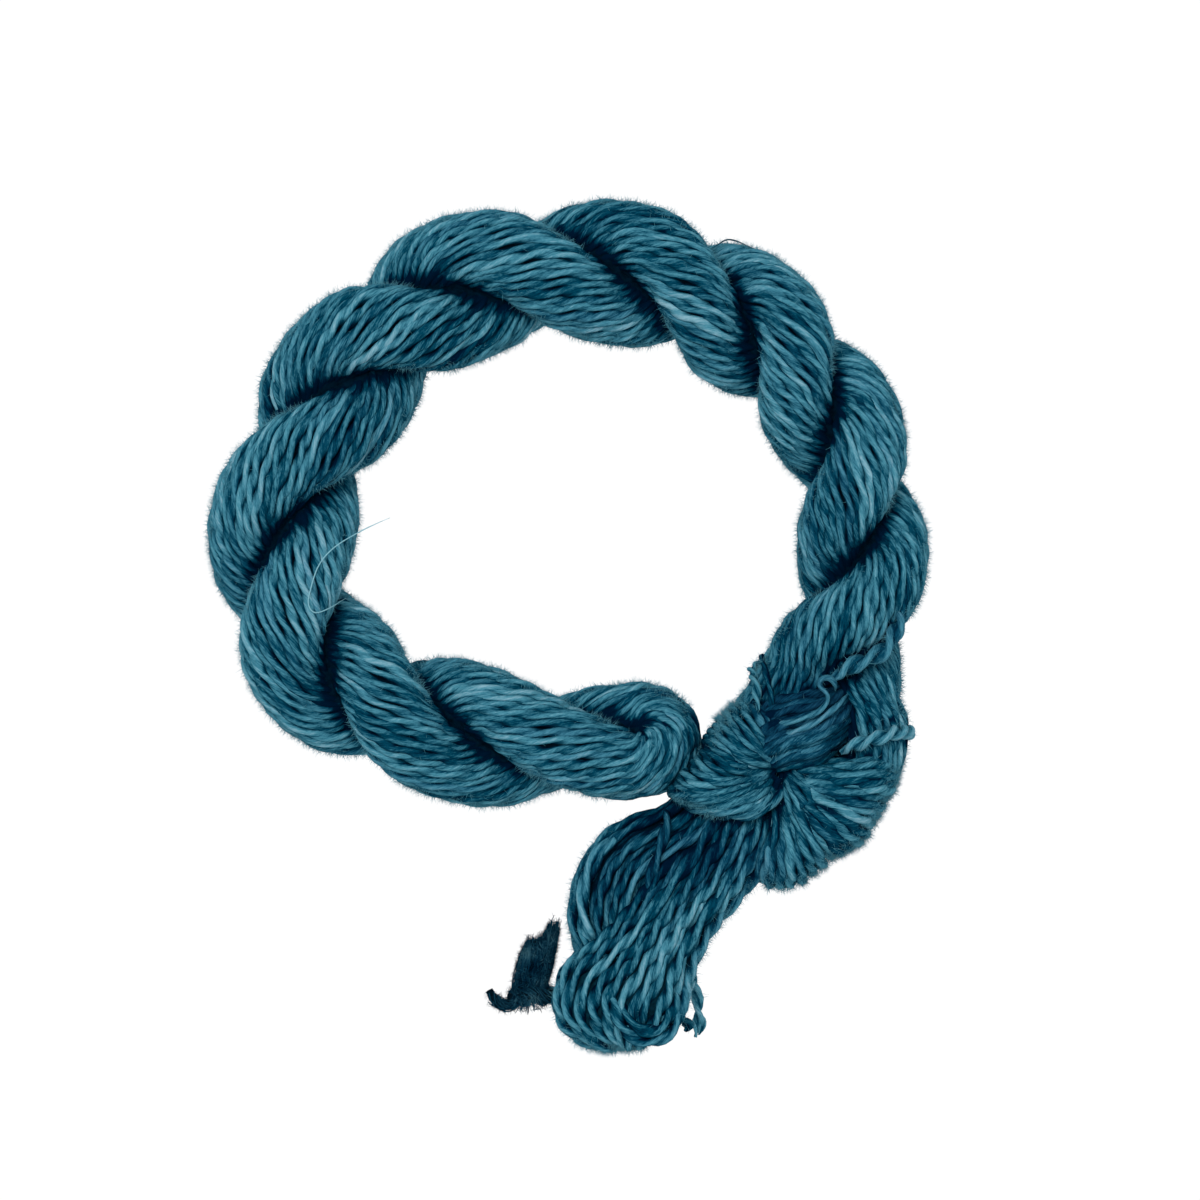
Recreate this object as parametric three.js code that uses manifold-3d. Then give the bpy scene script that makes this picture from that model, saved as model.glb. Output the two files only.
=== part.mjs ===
// A twisted skein of plied yarn: a hank twisted and folded, so that its two strands lie round each other as
// a rope, curled into a ring and closed with a loop knot, with a short tail and the ties that hold it.
// Millimetres, +Z up, lying on z = 0 with the origin under the middle of its box.

import * as THREE from 'three';
import { mergeVertices } from 'three/addons/utils/BufferGeometryUtils.js';
import Module from 'manifold-3d';

const wasm = await Module();
wasm.setup();

// Driving sizes
const YARN_RADIUS = 1.15;
const CLEARANCE = 0.3;
const STRAND_OFFSET = 6.0; // strand centre to rope axis
const STRAND_RADIAL = 7.1; // half-thickness of a strand, away from the rope axis
const STRAND_AROUND = 9.0; // half-thickness of a strand, round the rope axis
const ROPE_SQUASH = 0.9; // height over width of the resting rope
const ROPE_AXIS_HEIGHT = 11.0;

// How finely the forms are divided
const STEPS_PER_HALF_TURN = 6;
const STEPS_PER_LEG_ROW = 2;
const STEPS_PER_BUNDLE_ROW = 3;
const STEPS_PER_TIE_ROW = 2;
const STRAND_SIDES = 14;
const TIE_SIDES = 8;
const LOCK_SIDES = 4;
const KNOT_SEGMENTS = { around: 12, upwards: 8 };
const NEARBY = 0.01; // part of a row, for the heading of a route
const MERGE_TOLERANCE = 1e-4;

// Rope axis, clockwise from the folded end: one row for each crossing of the two strands.
// turn counts half turns of the twist, size scales the section, and lean is how far the strands run ahead
// on the outside of the ring, for each mm off its axis.
const ROPE_ROWS = [
  { turn: -0.88, x: 13.2, y: -20.4, size: 0.84, lean: 0 },
  { turn: -0.1, x: -15.2, y: -20.2, size: 0.98, lean: -0.03 },
  { turn: 0.98, x: -43.4, y: -9.3, size: 1.03, lean: 0.06 },
  { turn: 1.93, x: -51.7, y: 15.0, size: 1.04, lean: -0.05 },
  { turn: 2.94, x: -41.8, y: 42.4, size: 1.06, lean: 0.08 },
  { turn: 3.96, x: -21.3, y: 60.0, size: 1.04, lean: 0.06 },
  { turn: 4.95, x: 7.6, y: 63.6, size: 1.02, lean: -0.03 },
  { turn: 5.91, x: 30.0, y: 55.2, size: 1, lean: -0.03 },
  { turn: 7, x: 47.3, y: 37.4, size: 0.94, lean: 0.1 },
  { turn: 7.96, x: 52.7, y: 14.2, size: 0.93, lean: 0.1 },
  { turn: 9, x: 47.2, y: -9.9, size: 0.99, lean: 0.1 },
];

// Turn-back at the folded end, in degrees, and how far the yarn fills the inside of its bend.
const FOLD = { sweep: 100, step: 20, fill: 0.97 };

// Ground below the skein, which flattens it where it lies.
const GROUND = { width: 400, depth: 40 };

// Bundles of the knot and the tail: centre line, half-width in plan and half-height.
const BACK_LEG_ROWS = [
  { x: 36.9, y: -16.2, z: 9.5, half: 7.5, rise: 8.5 },
  { x: 31.5, y: -26.1, z: 8, half: 8, rise: 8 },
  { x: 22.4, y: -36.2, z: 7, half: 8, rise: 7.5 },
  { x: 11.5, y: -43.2, z: 6.5, half: 8.9, rise: 7 },
  { x: 7.2, y: -52.6, z: 6, half: 8.2, rise: 6.6 },
  { x: 8.2, y: -61, z: 6, half: 6.2, rise: 6.4 },
];
const RIGHT_LEG_ROWS = [
  { x: 55.0, y: -16.5, z: 11.5, half: 6.7, rise: 8.5 },
  { x: 53.6, y: -24.5, z: 10, half: 6, rise: 8 },
  { x: 49.5, y: -32.5, z: 8.5, half: 5.5, rise: 6.5 },
];
const BRIDGE_ROWS = [
  { x: 51.0, y: -9.5, z: 11, half: 5.5, rise: 6 },
  { x: 46.0, y: -14.0, z: 13, half: 6.5, rise: 6.5 },
  { x: 40.5, y: -18.8, z: 13, half: 6.8, rise: 6.5 },
  { x: 36.5, y: -24.0, z: 9, half: 6, rise: 6 },
];
const FRONT_LEG_ROWS = [
  { x: 37.0, y: -27.0, z: 10, half: 6, rise: 7 },
  { x: 31.0, y: -35.5, z: 8.6, half: 8.2, rise: 8.2 },
  { x: 25.6, y: -43.6, z: 8, half: 8.0, rise: 8 },
  { x: 20.2, y: -50.6, z: 7.4, half: 8.3, rise: 7.6 },
  { x: 15.4, y: -57.6, z: 6.8, half: 9.4, rise: 7.2 },
  { x: 11.9, y: -63.4, z: 6.6, half: 11.6, rise: 7 },
  { x: 9.7, y: -68.2, z: 6.4, half: 12.9, rise: 6.8 },
  { x: 8.6, y: -72.2, z: 6.2, half: 12.1, rise: 6.4 },
  { x: 8.0, y: -74.8, z: 5.8, half: 9.5, rise: 5 },
  { x: 7.8, y: -76.2, z: 5.6, half: 4.8, rise: 2.6 },
];

// Lobes of the loop knot, fanning out from the pinch: outer reach by bearing, counter-clockwise from +X.
const PINCH = { x: 38.7, y: -25.7, z: 13.5 };
const LOBE = { inner: 1.2, edge: 8.5, under: -0.8, sides: 14, step: 7, fullness: 0.75 };
const RIGHT_LOBE_ROWS = [
  { bearing: 36, reach: 15, crown: 14 },
  { bearing: 18, reach: 18.5, crown: 16 },
  { bearing: 1.4, reach: 21.2, crown: 21 },
  { bearing: -20.9, reach: 19.7, crown: 22.2 },
  { bearing: -32, reach: 19.6, crown: 22.4 },
  { bearing: -45, reach: 20.0, crown: 22.4 },
  { bearing: -59.7, reach: 19.2, crown: 22.2 },
  { bearing: -71, reach: 19.9, crown: 21.8 },
  { bearing: -83, reach: 21.4, crown: 21 },
  { bearing: -97, reach: 21.2, crown: 19 },
  { bearing: -108, reach: 19.5, crown: 16 },
];
const LEFT_LOBE_ROWS = [
  { bearing: 250, reach: 10.2, crown: 19 },
  { bearing: 237, reach: 13.1, crown: 20.5 },
  { bearing: 218, reach: 15.8, crown: 22 },
  { bearing: 205, reach: 18.9, crown: 22.4 },
  { bearing: 192.5, reach: 22.3, crown: 22.4 },
  { bearing: 184, reach: 21.0, crown: 22.4 },
  { bearing: 172, reach: 17.3, crown: 22.4 },
  { bearing: 160.6, reach: 16.2, crown: 22.2 },
  { bearing: 144, reach: 15.5, crown: 22 },
  { bearing: 126, reach: 15.1, crown: 21 },
  { bearing: 108, reach: 14.4, crown: 19.5 },
];

// Routes of the ties and of the yarn's loose end.
const CHOKE_TIE_ROWS = [
  { x: 46.6, y: -9.7, z: 18.4 },
  { x: 51.5, y: -7.0, z: 16.8 },
  { x: 55.5, y: -4.6, z: 15.2 },
  { x: 58.6, y: 0.2, z: 12.5 },
  { x: 60.3, y: 2.4, z: 8 },
  { x: 59.0, y: 3.6, z: 3.6 },
  { x: 54.0, y: 3.4, z: 1.5 },
  { x: 46.0, y: 0.5, z: 1.5 },
  { x: 38.5, y: -4.5, z: 1.7 },
  { x: 34.2, y: -7.2, z: 5 },
  { x: 32.6, y: -8.2, z: 10 },
  { x: 33.2, y: -10.8, z: 15 },
  { x: 34.4, y: -15.0, z: 17.6 },
];
const LOOP_TIE_ROWS = [
  { x: 48.4, y: -22.8, z: 17.2 },
  { x: 51.0, y: -21.4, z: 19.2 },
  { x: 54.6, y: -20.2, z: 20.4 },
  { x: 58.0, y: -19.2, z: 18.6 },
  { x: 60.6, y: -19.2, z: 13.5 },
  { x: 60.4, y: -19.8, z: 8 },
  { x: 57.5, y: -20.4, z: 2.8 },
  { x: 52.5, y: -21.0, z: 1.6 },
];
const YARN_END_ROWS = [
  { x: 20.6, y: -61.5, z: 4.6 },
  { x: 22.2, y: -65.0, z: 3 },
  { x: 23.0, y: -68.2, z: 1.8 },
  { x: 23.5, y: -71.0, z: 1.3 },
  { x: 23.0, y: -75.0, z: 1.25 },
];

// End tie: a knot against the tail, a brush of locks and one curled free end.
const TIE_KNOT = { x: -7.0, y: -67.6, z: 2.9, halfX: 4.6, halfY: 2.3, halfZ: 2.7 };
const BRUSH_ROOT = { x: -7.4, y: -67.0, spreadX: 6.0, spreadY: -0.6, half: 0.68 };
const BRUSH_ROWS = [
  { tipX: -8.6, tipY: -57.6, tipHalf: 0.52 },
  { tipX: -7.3, tipY: -56.2, tipHalf: 0.48 },
  { tipX: -5.9, tipY: -57.0, tipHalf: 0.55 },
  { tipX: -4.6, tipY: -55.2, tipHalf: 0.52 },
  { tipX: -3.2, tipY: -53.4, tipHalf: 0.4 },
  { tipX: -1.9, tipY: -54.0, tipHalf: 0.46 },
];
const BRUSH_LAYERS = [
  { rootZ: 1.5, tipZ: 1.0, lengthen: 0.97 },
  { rootZ: 3.4, tipZ: 3.2, lengthen: 1.0 },
];
const CURLED_END_ROWS = [
  { x: -8.0, y: -68.3, z: 2.2 },
  { x: -10.4, y: -69.2, z: 1.6 },
  { x: -12.4, y: -69.3, z: 1.4 },
  { x: -14.0, y: -68.0, z: 1.4 },
  { x: -14.8, y: -66.0, z: 1.4 },
];
const CURLED_END_RADIUS = 1.25;

const UP = new THREE.Vector3(0, 0, 1);

// Smooth interpolation of every column of a table, where s counts rows from 0.
function along(rows, s) {
  const last = rows.length - 1;
  const i = Math.min(Math.max(Math.floor(s), 0), last - 1);
  const f = s - i;
  const rowAt = (j) => rows[THREE.MathUtils.clamp(j, 0, last)];
  const out = {};
  for (const key of Object.keys(rows[0])) {
    const [a, b, c, d] = [i - 1, i, i + 1, i + 2].map((j) => rowAt(j)[key]);
    const slope = c - a;
    const bend = 2 * a - 5 * b + 4 * c - d;
    const twist = 3 * b - a - 3 * c + d;
    out[key] = b + 0.5 * f * (slope + f * (bend + f * twist));
  }
  return out;
}

// Ring of points round a centre, from its two half-axis vectors, turned back by the given angle.
function ellipseRing(centre, radial, around, sides, turnedBack = 0) {
  const ring = [];
  for (let i = 0; i < sides; i += 1) {
    const angle = (2 * Math.PI * i) / sides - turnedBack;
    const corner = centre.clone().addScaledVector(radial, Math.cos(angle));
    ring.push(corner.addScaledVector(around, Math.sin(angle)));
  }
  return ring;
}

// Closed skin through a row of rings with the same number of points, capped at both ends.
function loft(rings) {
  const sides = rings[0].length;
  const points = rings.flat();
  const centre = (ring) => ring.reduce((sum, p) => sum.add(p), new THREE.Vector3()).divideScalar(sides);
  const firstCap = points.length;
  const lastCap = firstCap + 1;
  points.push(centre(rings[0]), centre(rings.at(-1)));
  const faces = [];
  for (let r = 0; r + 1 < rings.length; r += 1) {
    for (let i = 0; i < sides; i += 1) {
      const a = r * sides + i;
      const b = r * sides + ((i + 1) % sides);
      faces.push([a, b, b + sides], [a, b + sides, a + sides]);
    }
  }
  const lastRing = (rings.length - 1) * sides;
  for (let i = 0; i < sides; i += 1) {
    const next = (i + 1) % sides;
    faces.push([firstCap, next, i], [lastCap, lastRing + i, lastRing + next]);
  }
  const volume = faces.reduce((sum, [a, b, c]) => sum + points[a].dot(points[b].clone().cross(points[c])), 0);
  if (volume < 0) {
    faces.forEach((face) => face.reverse());
  }
  return solidOf(points.flatMap((p) => p.toArray()), faces.flat());
}

function solidOf(positions, triangles) {
  const vertProperties = new Float32Array(positions);
  const triVerts = new Uint32Array(triangles);
  return new wasm.Manifold(new wasm.Mesh({ numProp: 3, vertProperties, triVerts }));
}

function solidFromGeometry(geometry) {
  geometry.deleteAttribute('normal');
  geometry.deleteAttribute('uv');
  const merged = mergeVertices(geometry, MERGE_TOLERANCE);
  return solidOf(merged.attributes.position.array, merged.index.array);
}

function geometryOf(solid) {
  const { vertProperties, triVerts } = solid.getMesh();
  const geometry = new THREE.BufferGeometry();
  geometry.setAttribute('position', new THREE.BufferAttribute(vertProperties, 3));
  geometry.setIndex(new THREE.BufferAttribute(triVerts, 1));
  return geometry;
}

// Rope frame at row s: its axis point, its outer side and the values of its row.
function ropeFrame(s) {
  const here = along(ROPE_ROWS, s);
  const ahead = along(ROPE_ROWS, s + NEARBY);
  const behind = along(ROPE_ROWS, s - NEARBY);
  const forward = new THREE.Vector3(ahead.x - behind.x, ahead.y - behind.y, 0).normalize();
  const outer = new THREE.Vector3().crossVectors(UP, forward);
  const axis = new THREE.Vector3(here.x, here.y, ROPE_AXIS_HEIGHT);
  return { ...here, axis, forward, outer };
}

// Directions away from and round the rope axis for a strand, flattened by its own weight.
function strandAxes(frame, side) {
  const angle = Math.PI * (frame.turn + side);
  const tilt = UP.clone().multiplyScalar(ROPE_SQUASH);
  const radial = frame.outer.clone().multiplyScalar(Math.cos(angle)).addScaledVector(tilt, Math.sin(angle));
  const around = frame.outer.clone().multiplyScalar(-Math.sin(angle)).addScaledVector(tilt, Math.cos(angle));
  return { radial, around, angle };
}

function strandRing(s, side) {
  const frame = ropeFrame(s);
  const { radial, around, angle } = strandAxes(frame, side);
  const centre = frame.axis.clone().addScaledVector(radial, STRAND_OFFSET * frame.size);
  radial.multiplyScalar(STRAND_RADIAL * frame.size);
  around.multiplyScalar(STRAND_AROUND * frame.size);
  const ring = ellipseRing(centre, radial, around, STRAND_SIDES, angle);
  const outward = (p) => p.clone().sub(frame.axis).dot(frame.outer);
  ring.forEach((p) => p.addScaledVector(frame.forward, frame.lean * outward(p)));
  return ring;
}

// Half of the turn-back at the folded end, from its tip to the start of the strand.
function foldRings(side) {
  const frame = ropeFrame(0);
  const { radial, around, angle } = strandAxes(frame, side);
  const offset = STRAND_OFFSET * frame.size;
  const rings = [];
  for (let degrees = FOLD.sweep; degrees > 0; degrees -= FOLD.step) {
    const swing = THREE.MathUtils.degToRad(degrees);
    const out = radial.clone().multiplyScalar(Math.cos(swing));
    out.addScaledVector(frame.forward, -Math.sin(swing));
    const centre = frame.axis.clone().addScaledVector(out, offset);
    const inside = out.clone().multiplyScalar(FOLD.fill * offset);
    const across = around.clone().multiplyScalar(STRAND_AROUND * frame.size);
    rings.push(ellipseRing(centre, inside, across, STRAND_SIDES, angle));
  }
  return rings;
}

// Rings of a bundle along its rows, with its width level and its height upright.
function bundleRings(rows, stepsPerRow) {
  const rings = [];
  const count = (rows.length - 1) * stepsPerRow;
  for (let i = 0; i <= count; i += 1) {
    const s = i / stepsPerRow;
    const here = along(rows, s);
    const ahead = along(rows, s + NEARBY);
    const behind = along(rows, s - NEARBY);
    const forward = new THREE.Vector3(ahead.x - behind.x, ahead.y - behind.y, 0).normalize();
    const level = new THREE.Vector3().crossVectors(UP, forward).multiplyScalar(here.half);
    const upright = UP.clone().multiplyScalar(here.rise);
    rings.push(ellipseRing(new THREE.Vector3(here.x, here.y, here.z), level, upright, STRAND_SIDES));
  }
  return rings;
}

// One strand of the rope, from the tip of the fold to its end in the knot or the tail.
function strand(side, endRows) {
  const rings = foldRings(side);
  const count = (ROPE_ROWS.length - 1) * STEPS_PER_HALF_TURN;
  for (let i = 0; i <= count; i += 1) {
    rings.push(strandRing(i / STEPS_PER_HALF_TURN, side));
  }
  return loft(rings.concat(bundleRings(endRows, STEPS_PER_LEG_ROW)));
}

// Fan of yarn about the pinch: an egg-shaped section at each bearing.
function lobe(rows) {
  const rings = [];
  const sweep = Math.abs(rows.at(-1).bearing - rows[0].bearing);
  const count = Math.round(sweep / LOBE.step);
  for (let i = 0; i <= count; i += 1) {
    const { bearing, reach, crown } = along(rows, (i / count) * (rows.length - 1));
    const heading = THREE.MathUtils.degToRad(bearing);
    const ring = [];
    for (let j = 0; j < LOBE.sides; j += 1) {
      const angle = (2 * Math.PI * j) / LOBE.sides;
      const outward = Math.pow((1 - Math.cos(angle)) / 2, LOBE.fullness);
      const radius = LOBE.inner + (reach - LOBE.inner) * outward;
      const middle = PINCH.z + (LOBE.edge - PINCH.z) * outward;
      const limit = Math.sin(angle) > 0 ? crown : LOBE.under;
      const height = middle + (limit - middle) * Math.abs(Math.sin(angle));
      ring.push(new THREE.Vector3(
        PINCH.x + radius * Math.cos(heading),
        PINCH.y + radius * Math.sin(heading),
        height,
      ));
    }
    rings.push(ring);
  }
  return loft(rings);
}

function groundSlab() {
  const slab = new THREE.BoxGeometry(GROUND.width, GROUND.width, GROUND.depth);
  slab.translate(0, 0, -GROUND.depth / 2);
  return solidFromGeometry(slab);
}

// Yarn along a route; grow adds the same clearance round it and past its ends.
function yarnTube(rows, radius, grow = 0) {
  const points = rows.map((row) => new THREE.Vector3(row.x, row.y, row.z));
  const lengthen = (end, next) => end.clone().addScaledVector(end.clone().sub(next).normalize(), grow);
  const first = lengthen(points[0], points[1]);
  const last = lengthen(points.at(-1), points.at(-2));
  const route = new THREE.CatmullRomCurve3([first, ...points.slice(1, -1), last]);
  const section = new THREE.Shape();
  for (let i = 0; i < TIE_SIDES; i += 1) {
    const angle = (2 * Math.PI * i) / TIE_SIDES;
    const corner = [(radius + grow) * Math.cos(angle), (radius + grow) * Math.sin(angle)];
    if (i === 0) {
      section.moveTo(...corner);
    } else {
      section.lineTo(...corner);
    }
  }
  section.closePath();
  const steps = STEPS_PER_TIE_ROW * (rows.length - 1);
  const tube = new THREE.ExtrudeGeometry(section, { steps, extrudePath: route, bevelEnabled: false });
  return solidFromGeometry(tube);
}

function tieKnot(grow = 0) {
  const knot = new THREE.SphereGeometry(1, KNOT_SEGMENTS.around, KNOT_SEGMENTS.upwards);
  knot.scale(TIE_KNOT.halfX + grow, TIE_KNOT.halfY + grow, TIE_KNOT.halfZ + grow);
  knot.translate(TIE_KNOT.x, TIE_KNOT.y, TIE_KNOT.z);
  return solidFromGeometry(knot);
}

// One four-sided lock of the brush, thick at the root and thin at the tip.
function brushLock(row, index, layer) {
  const share = index / (BRUSH_ROWS.length - 1) - 0.5;
  const rootX = BRUSH_ROOT.x + BRUSH_ROOT.spreadX * share;
  const rootY = BRUSH_ROOT.y + BRUSH_ROOT.spreadY * share;
  const root = new THREE.Vector3(rootX, rootY, layer.rootZ);
  const tip = new THREE.Vector3(row.tipX, root.y + (row.tipY - root.y) * layer.lengthen, layer.tipZ);
  const forward = tip.clone().sub(root).normalize();
  const level = new THREE.Vector3().crossVectors(UP, forward).normalize();
  const rings = [[root, BRUSH_ROOT.half], [tip, row.tipHalf]].map(([centre, half]) => (
    ellipseRing(centre, level.clone().multiplyScalar(half), UP.clone().multiplyScalar(half), LOCK_SIDES)
  ));
  return loft(rings);
}

function endTieSolid() {
  let tie = tieKnot().add(yarnTube(CURLED_END_ROWS, CURLED_END_RADIUS));
  for (const layer of BRUSH_LAYERS) {
    BRUSH_ROWS.forEach((row, index) => {
      tie = tie.add(brushLock(row, index, layer));
    });
  }
  return tie;
}

// The whole hank, settled flat on the floor and pressed in where the ties hold it.
function skeinSolid() {
  const bundles = [
    strand(0, BACK_LEG_ROWS),
    strand(1, RIGHT_LEG_ROWS),
    loft(bundleRings(BRIDGE_ROWS, STEPS_PER_BUNDLE_ROW)),
    loft(bundleRings(FRONT_LEG_ROWS, STEPS_PER_BUNDLE_ROW)),
    lobe(RIGHT_LOBE_ROWS),
    lobe(LEFT_LOBE_ROWS),
  ];
  const joined = bundles.reduce((whole, bundle) => whole.add(bundle));
  const pressedIn = [
    groundSlab(),
    yarnTube(CHOKE_TIE_ROWS, YARN_RADIUS, CLEARANCE),
    yarnTube(LOOP_TIE_ROWS, YARN_RADIUS, CLEARANCE),
    yarnTube(YARN_END_ROWS, YARN_RADIUS, CLEARANCE),
    tieKnot(CLEARANCE),
  ];
  return pressedIn.reduce((whole, cut) => whole.subtract(cut), joined);
}

const tealYarn = new THREE.MeshStandardMaterial({ color: 0x2f7089, roughness: 0.6, metalness: 0 });
const darkYarn = new THREE.MeshStandardMaterial({ color: 0x123a4c, roughness: 0.8, metalness: 0 });

const PIECES = [
  { name: 'skein', solid: skeinSolid(), material: tealYarn },
  { name: 'choke_tie', solid: yarnTube(CHOKE_TIE_ROWS, YARN_RADIUS), material: tealYarn },
  { name: 'loop_tie', solid: yarnTube(LOOP_TIE_ROWS, YARN_RADIUS), material: tealYarn },
  { name: 'yarn_end', solid: yarnTube(YARN_END_ROWS, YARN_RADIUS), material: tealYarn },
  { name: 'end_tie', solid: endTieSolid(), material: darkYarn },
];

const skein = new THREE.Group();
for (const { name, solid, material } of PIECES) {
  const mesh = new THREE.Mesh(geometryOf(solid), material);
  mesh.name = name;
  skein.add(mesh);
}

export default skein;
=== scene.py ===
import math

import bmesh
import bpy
import numpy as np
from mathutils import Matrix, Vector
from mathutils.bvhtree import BVHTree


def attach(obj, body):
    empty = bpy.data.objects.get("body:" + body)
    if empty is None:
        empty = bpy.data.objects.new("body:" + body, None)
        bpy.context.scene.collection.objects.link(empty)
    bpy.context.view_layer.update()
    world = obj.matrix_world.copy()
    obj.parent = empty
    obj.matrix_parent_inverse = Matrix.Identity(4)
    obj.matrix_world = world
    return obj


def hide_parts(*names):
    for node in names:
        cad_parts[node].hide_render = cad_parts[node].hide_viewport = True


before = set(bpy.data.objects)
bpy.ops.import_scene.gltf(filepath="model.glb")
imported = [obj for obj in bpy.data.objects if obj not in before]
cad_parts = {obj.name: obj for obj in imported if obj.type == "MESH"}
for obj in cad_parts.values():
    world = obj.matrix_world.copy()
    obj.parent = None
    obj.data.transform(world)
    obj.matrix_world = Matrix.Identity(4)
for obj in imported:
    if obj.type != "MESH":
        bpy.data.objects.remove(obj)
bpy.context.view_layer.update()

mm = 0.001
up = np.array([0.0, 0.0, 1.0])
nearby = 0.01  # part of a table row, for the heading of a route
rng = np.random.default_rng(7)


# Routes

def along(rows, s):
    # smooth curve through the rows of a table, where s counts rows from 0
    rows = np.asarray(rows, float)
    last = len(rows) - 1
    s = np.asarray(s, float)
    i = np.clip(np.floor(s).astype(int), 0, last - 1)
    f = (s - i)[:, None]
    a, b, c, d = (rows[np.clip(i + k, 0, last)] for k in (-1, 0, 1, 2))
    return b + 0.5 * f * (c - a + f * (2 * a - 5 * b + 4 * c - d + f * (3 * b - a - 3 * c + d)))


def rowAt(rows, share):
    # values of a table at a share of its length
    last = len(rows) - 1
    return along(rows, np.clip([share * last], 0, last))[0]


def levelFrame(rows, s):
    # table values at s, with the level heading of the route and its left-hand side
    here = along(rows, s)
    step = along(rows, s + nearby) - along(rows, s - nearby)
    forward = np.zeros((len(here), 3))
    forward[:, :2] = step[:, :2]
    forward /= np.linalg.norm(forward, axis=1)[:, None]
    return here, forward, np.cross(up, forward)


def softMax(a, b, blend=0.5):
    return 0.5 * (a + b + np.sqrt((a - b) ** 2 + blend ** 2))


def mix(a, b, share):
    return a + (b - a) * share


def roundTurn(count):
    return np.linspace(0, 2 * math.pi, count, endpoint=False)


def smoothStep(x):
    x = np.clip(x, 0, 1)
    return x * x * (3 - 2 * x)


def rise(x, begin, over):
    # 0 before begin, then smoothly up to 1
    return smoothStep((x - begin) / over)


def lengths(points):
    steps = np.linalg.norm(np.diff(points, axis=0), axis=1)
    return np.concatenate([[0], np.cumsum(steps)])


def resample(points, step):
    run = lengths(points)
    count = max(3, int(round(run[-1] / step)) + 1)
    at = np.linspace(0, run[-1], count)
    return np.stack([np.interp(at, run, points[:, k]) for k in range(3)], axis=1)


def smoothed(points, passes):
    out = points.copy()
    for _ in range(passes):
        out[1:-1] = 0.25 * out[:-2] + 0.5 * out[1:-1] + 0.25 * out[2:]
    return out


def wander(run, wave, columns):
    # slow random drift along a route, about one unit high, one knot for each wave length
    knots = rng.normal(size=(int(run[-1] / wave) + 3, columns))
    return along(knots, run / wave)


# Outside of the wound form

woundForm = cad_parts["skein"].data
woundPoints = [v.co for v in woundForm.vertices]
woundTree = BVHTree.FromPolygons(woundPoints, [p.vertices for p in woundForm.polygons])


def topHeight(x, y):
    # height of the wound form over a place in plan, mm
    hit = woundTree.ray_cast(Vector((x * mm, y * mm, 0.1)), Vector((0, 0, -1)))[0]
    return hit.z / mm if hit else 0.0


def draped(rows, step=0.5):
    # route of x, y and height over the wound form, laid on its top
    flat = along(rows, np.linspace(0, len(rows) - 1, 30 * len(rows)))
    flat = resample(flat, step)
    ground = np.array([topHeight(x, y) for x, y, _ in flat])
    ground = smoothed(np.column_stack([ground] * 3), 8)[:, 0]
    return np.column_stack([flat[:, :2], ground + flat[:, 2]])


def skyDirections(count):
    # directions spread over a half ball round Z, closer together near its top
    share = (np.arange(count) + 0.5) / count
    turn = 2.4 * np.arange(count)
    flat = np.sqrt(share)
    return np.column_stack([flat * np.cos(turn), flat * np.sin(turn), np.sqrt(1 - share)])


openSky = {
    "rays": 16,
    "reach": 15.0,        # mm, what lies further off gives no shade
    "skinDepth": 5.0,     # mm, deeper points are buried
    "standOff": 0.4,      # mm from the form where a ray begins
    "lift": 0.6,          # how far the lit direction leans up
    "liftFrom": 1.2,      # less for sides that face down
    "shade": (1.6, 3.0),  # mm below the skin where shade begins, and mm over which it grows
    "shadeMost": 0.5,
}


def outsideOf(points):
    # outward direction (none where buried), the same lifted to the light, and how open each place is; the
    # yarn finish paints shade from the lifted direction and the openness
    away = np.zeros_like(points)
    lit = np.zeros_like(points)
    openness = np.zeros(len(points))
    sky = skyDirections(openSky["rays"])
    limit = openSky["reach"] * mm
    for i, p in enumerate(points):
        place = Vector(p * mm)
        spot, normal, _, gap = woundTree.find_nearest(place)
        outer = (place - spot).dot(normal) > 0
        if gap > openSky["skinDepth"] * mm and not outer:
            continue
        normal = (place - spot).normalized() if outer and gap > 0.5 * mm else normal
        away[i] = normal
        lift = openSky["lift"] * smoothStep(2 * normal.z + openSky["liftFrom"])
        lit[i] = (normal + Vector(up) * lift).normalized()
        turn = normal.to_track_quat("Z", "Y")
        begin = (place if outer else spot) + normal * (openSky["standOff"] * mm)
        free = 0.0
        for ray in sky:
            reach = woundTree.ray_cast(begin, turn @ Vector(ray), limit)[3]
            free += 1.0 if reach is None else reach / limit
        depth = 0 if outer else gap / mm
        openness[i] = free / len(sky) * (1 - openSky["shadeMost"] * rise(depth, *openSky["shade"]))
    return away, lit, openness


# Plied yarn

plied = {
    "radius": 1.05,          # mm, half the width of two plies side by side
    "uneven": 0.07,          # how far the thickness drifts
    "unevenWave": 9.0,       # mm
    "tip": 0.35,             # thickness of a tapered end, as a share
    "rest": 0.86,            # least height, as a share of the radius
    "settle": 0.3,           # mm, how softly a yarn comes down to that
    "smoothing": 6,          # passes over a route
    "plyLength": 12.5,       # mm for one full turn of the plies
    "plyRange": (0.8, 1.3),  # how far single yarns differ in that
    "plyDrift": 0.7,         # radians that the plies turn unevenly
    "plyWave": 12.0,         # mm
    "sides": 10,
    "step": 1.2,             # mm between rings
    "drift": 0.12,           # mm that a yarn strays from its even place
    "driftWave": 12.0,       # mm
    "shadeSpread": 0.07,     # how far whole yarns differ
    "shadeDrift": 0.155,     # and how far the shade drifts along each
    "shadeWave": 15.0,       # mm
    "tintDrift": 0.10,
    "tintWave": 25.0,        # mm
    "looseDye": 0.3,         # share of those changes that a loose yarn keeps
    "patternRange": 400,     # mm, so that no two yarns have the same fibres
}
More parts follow.
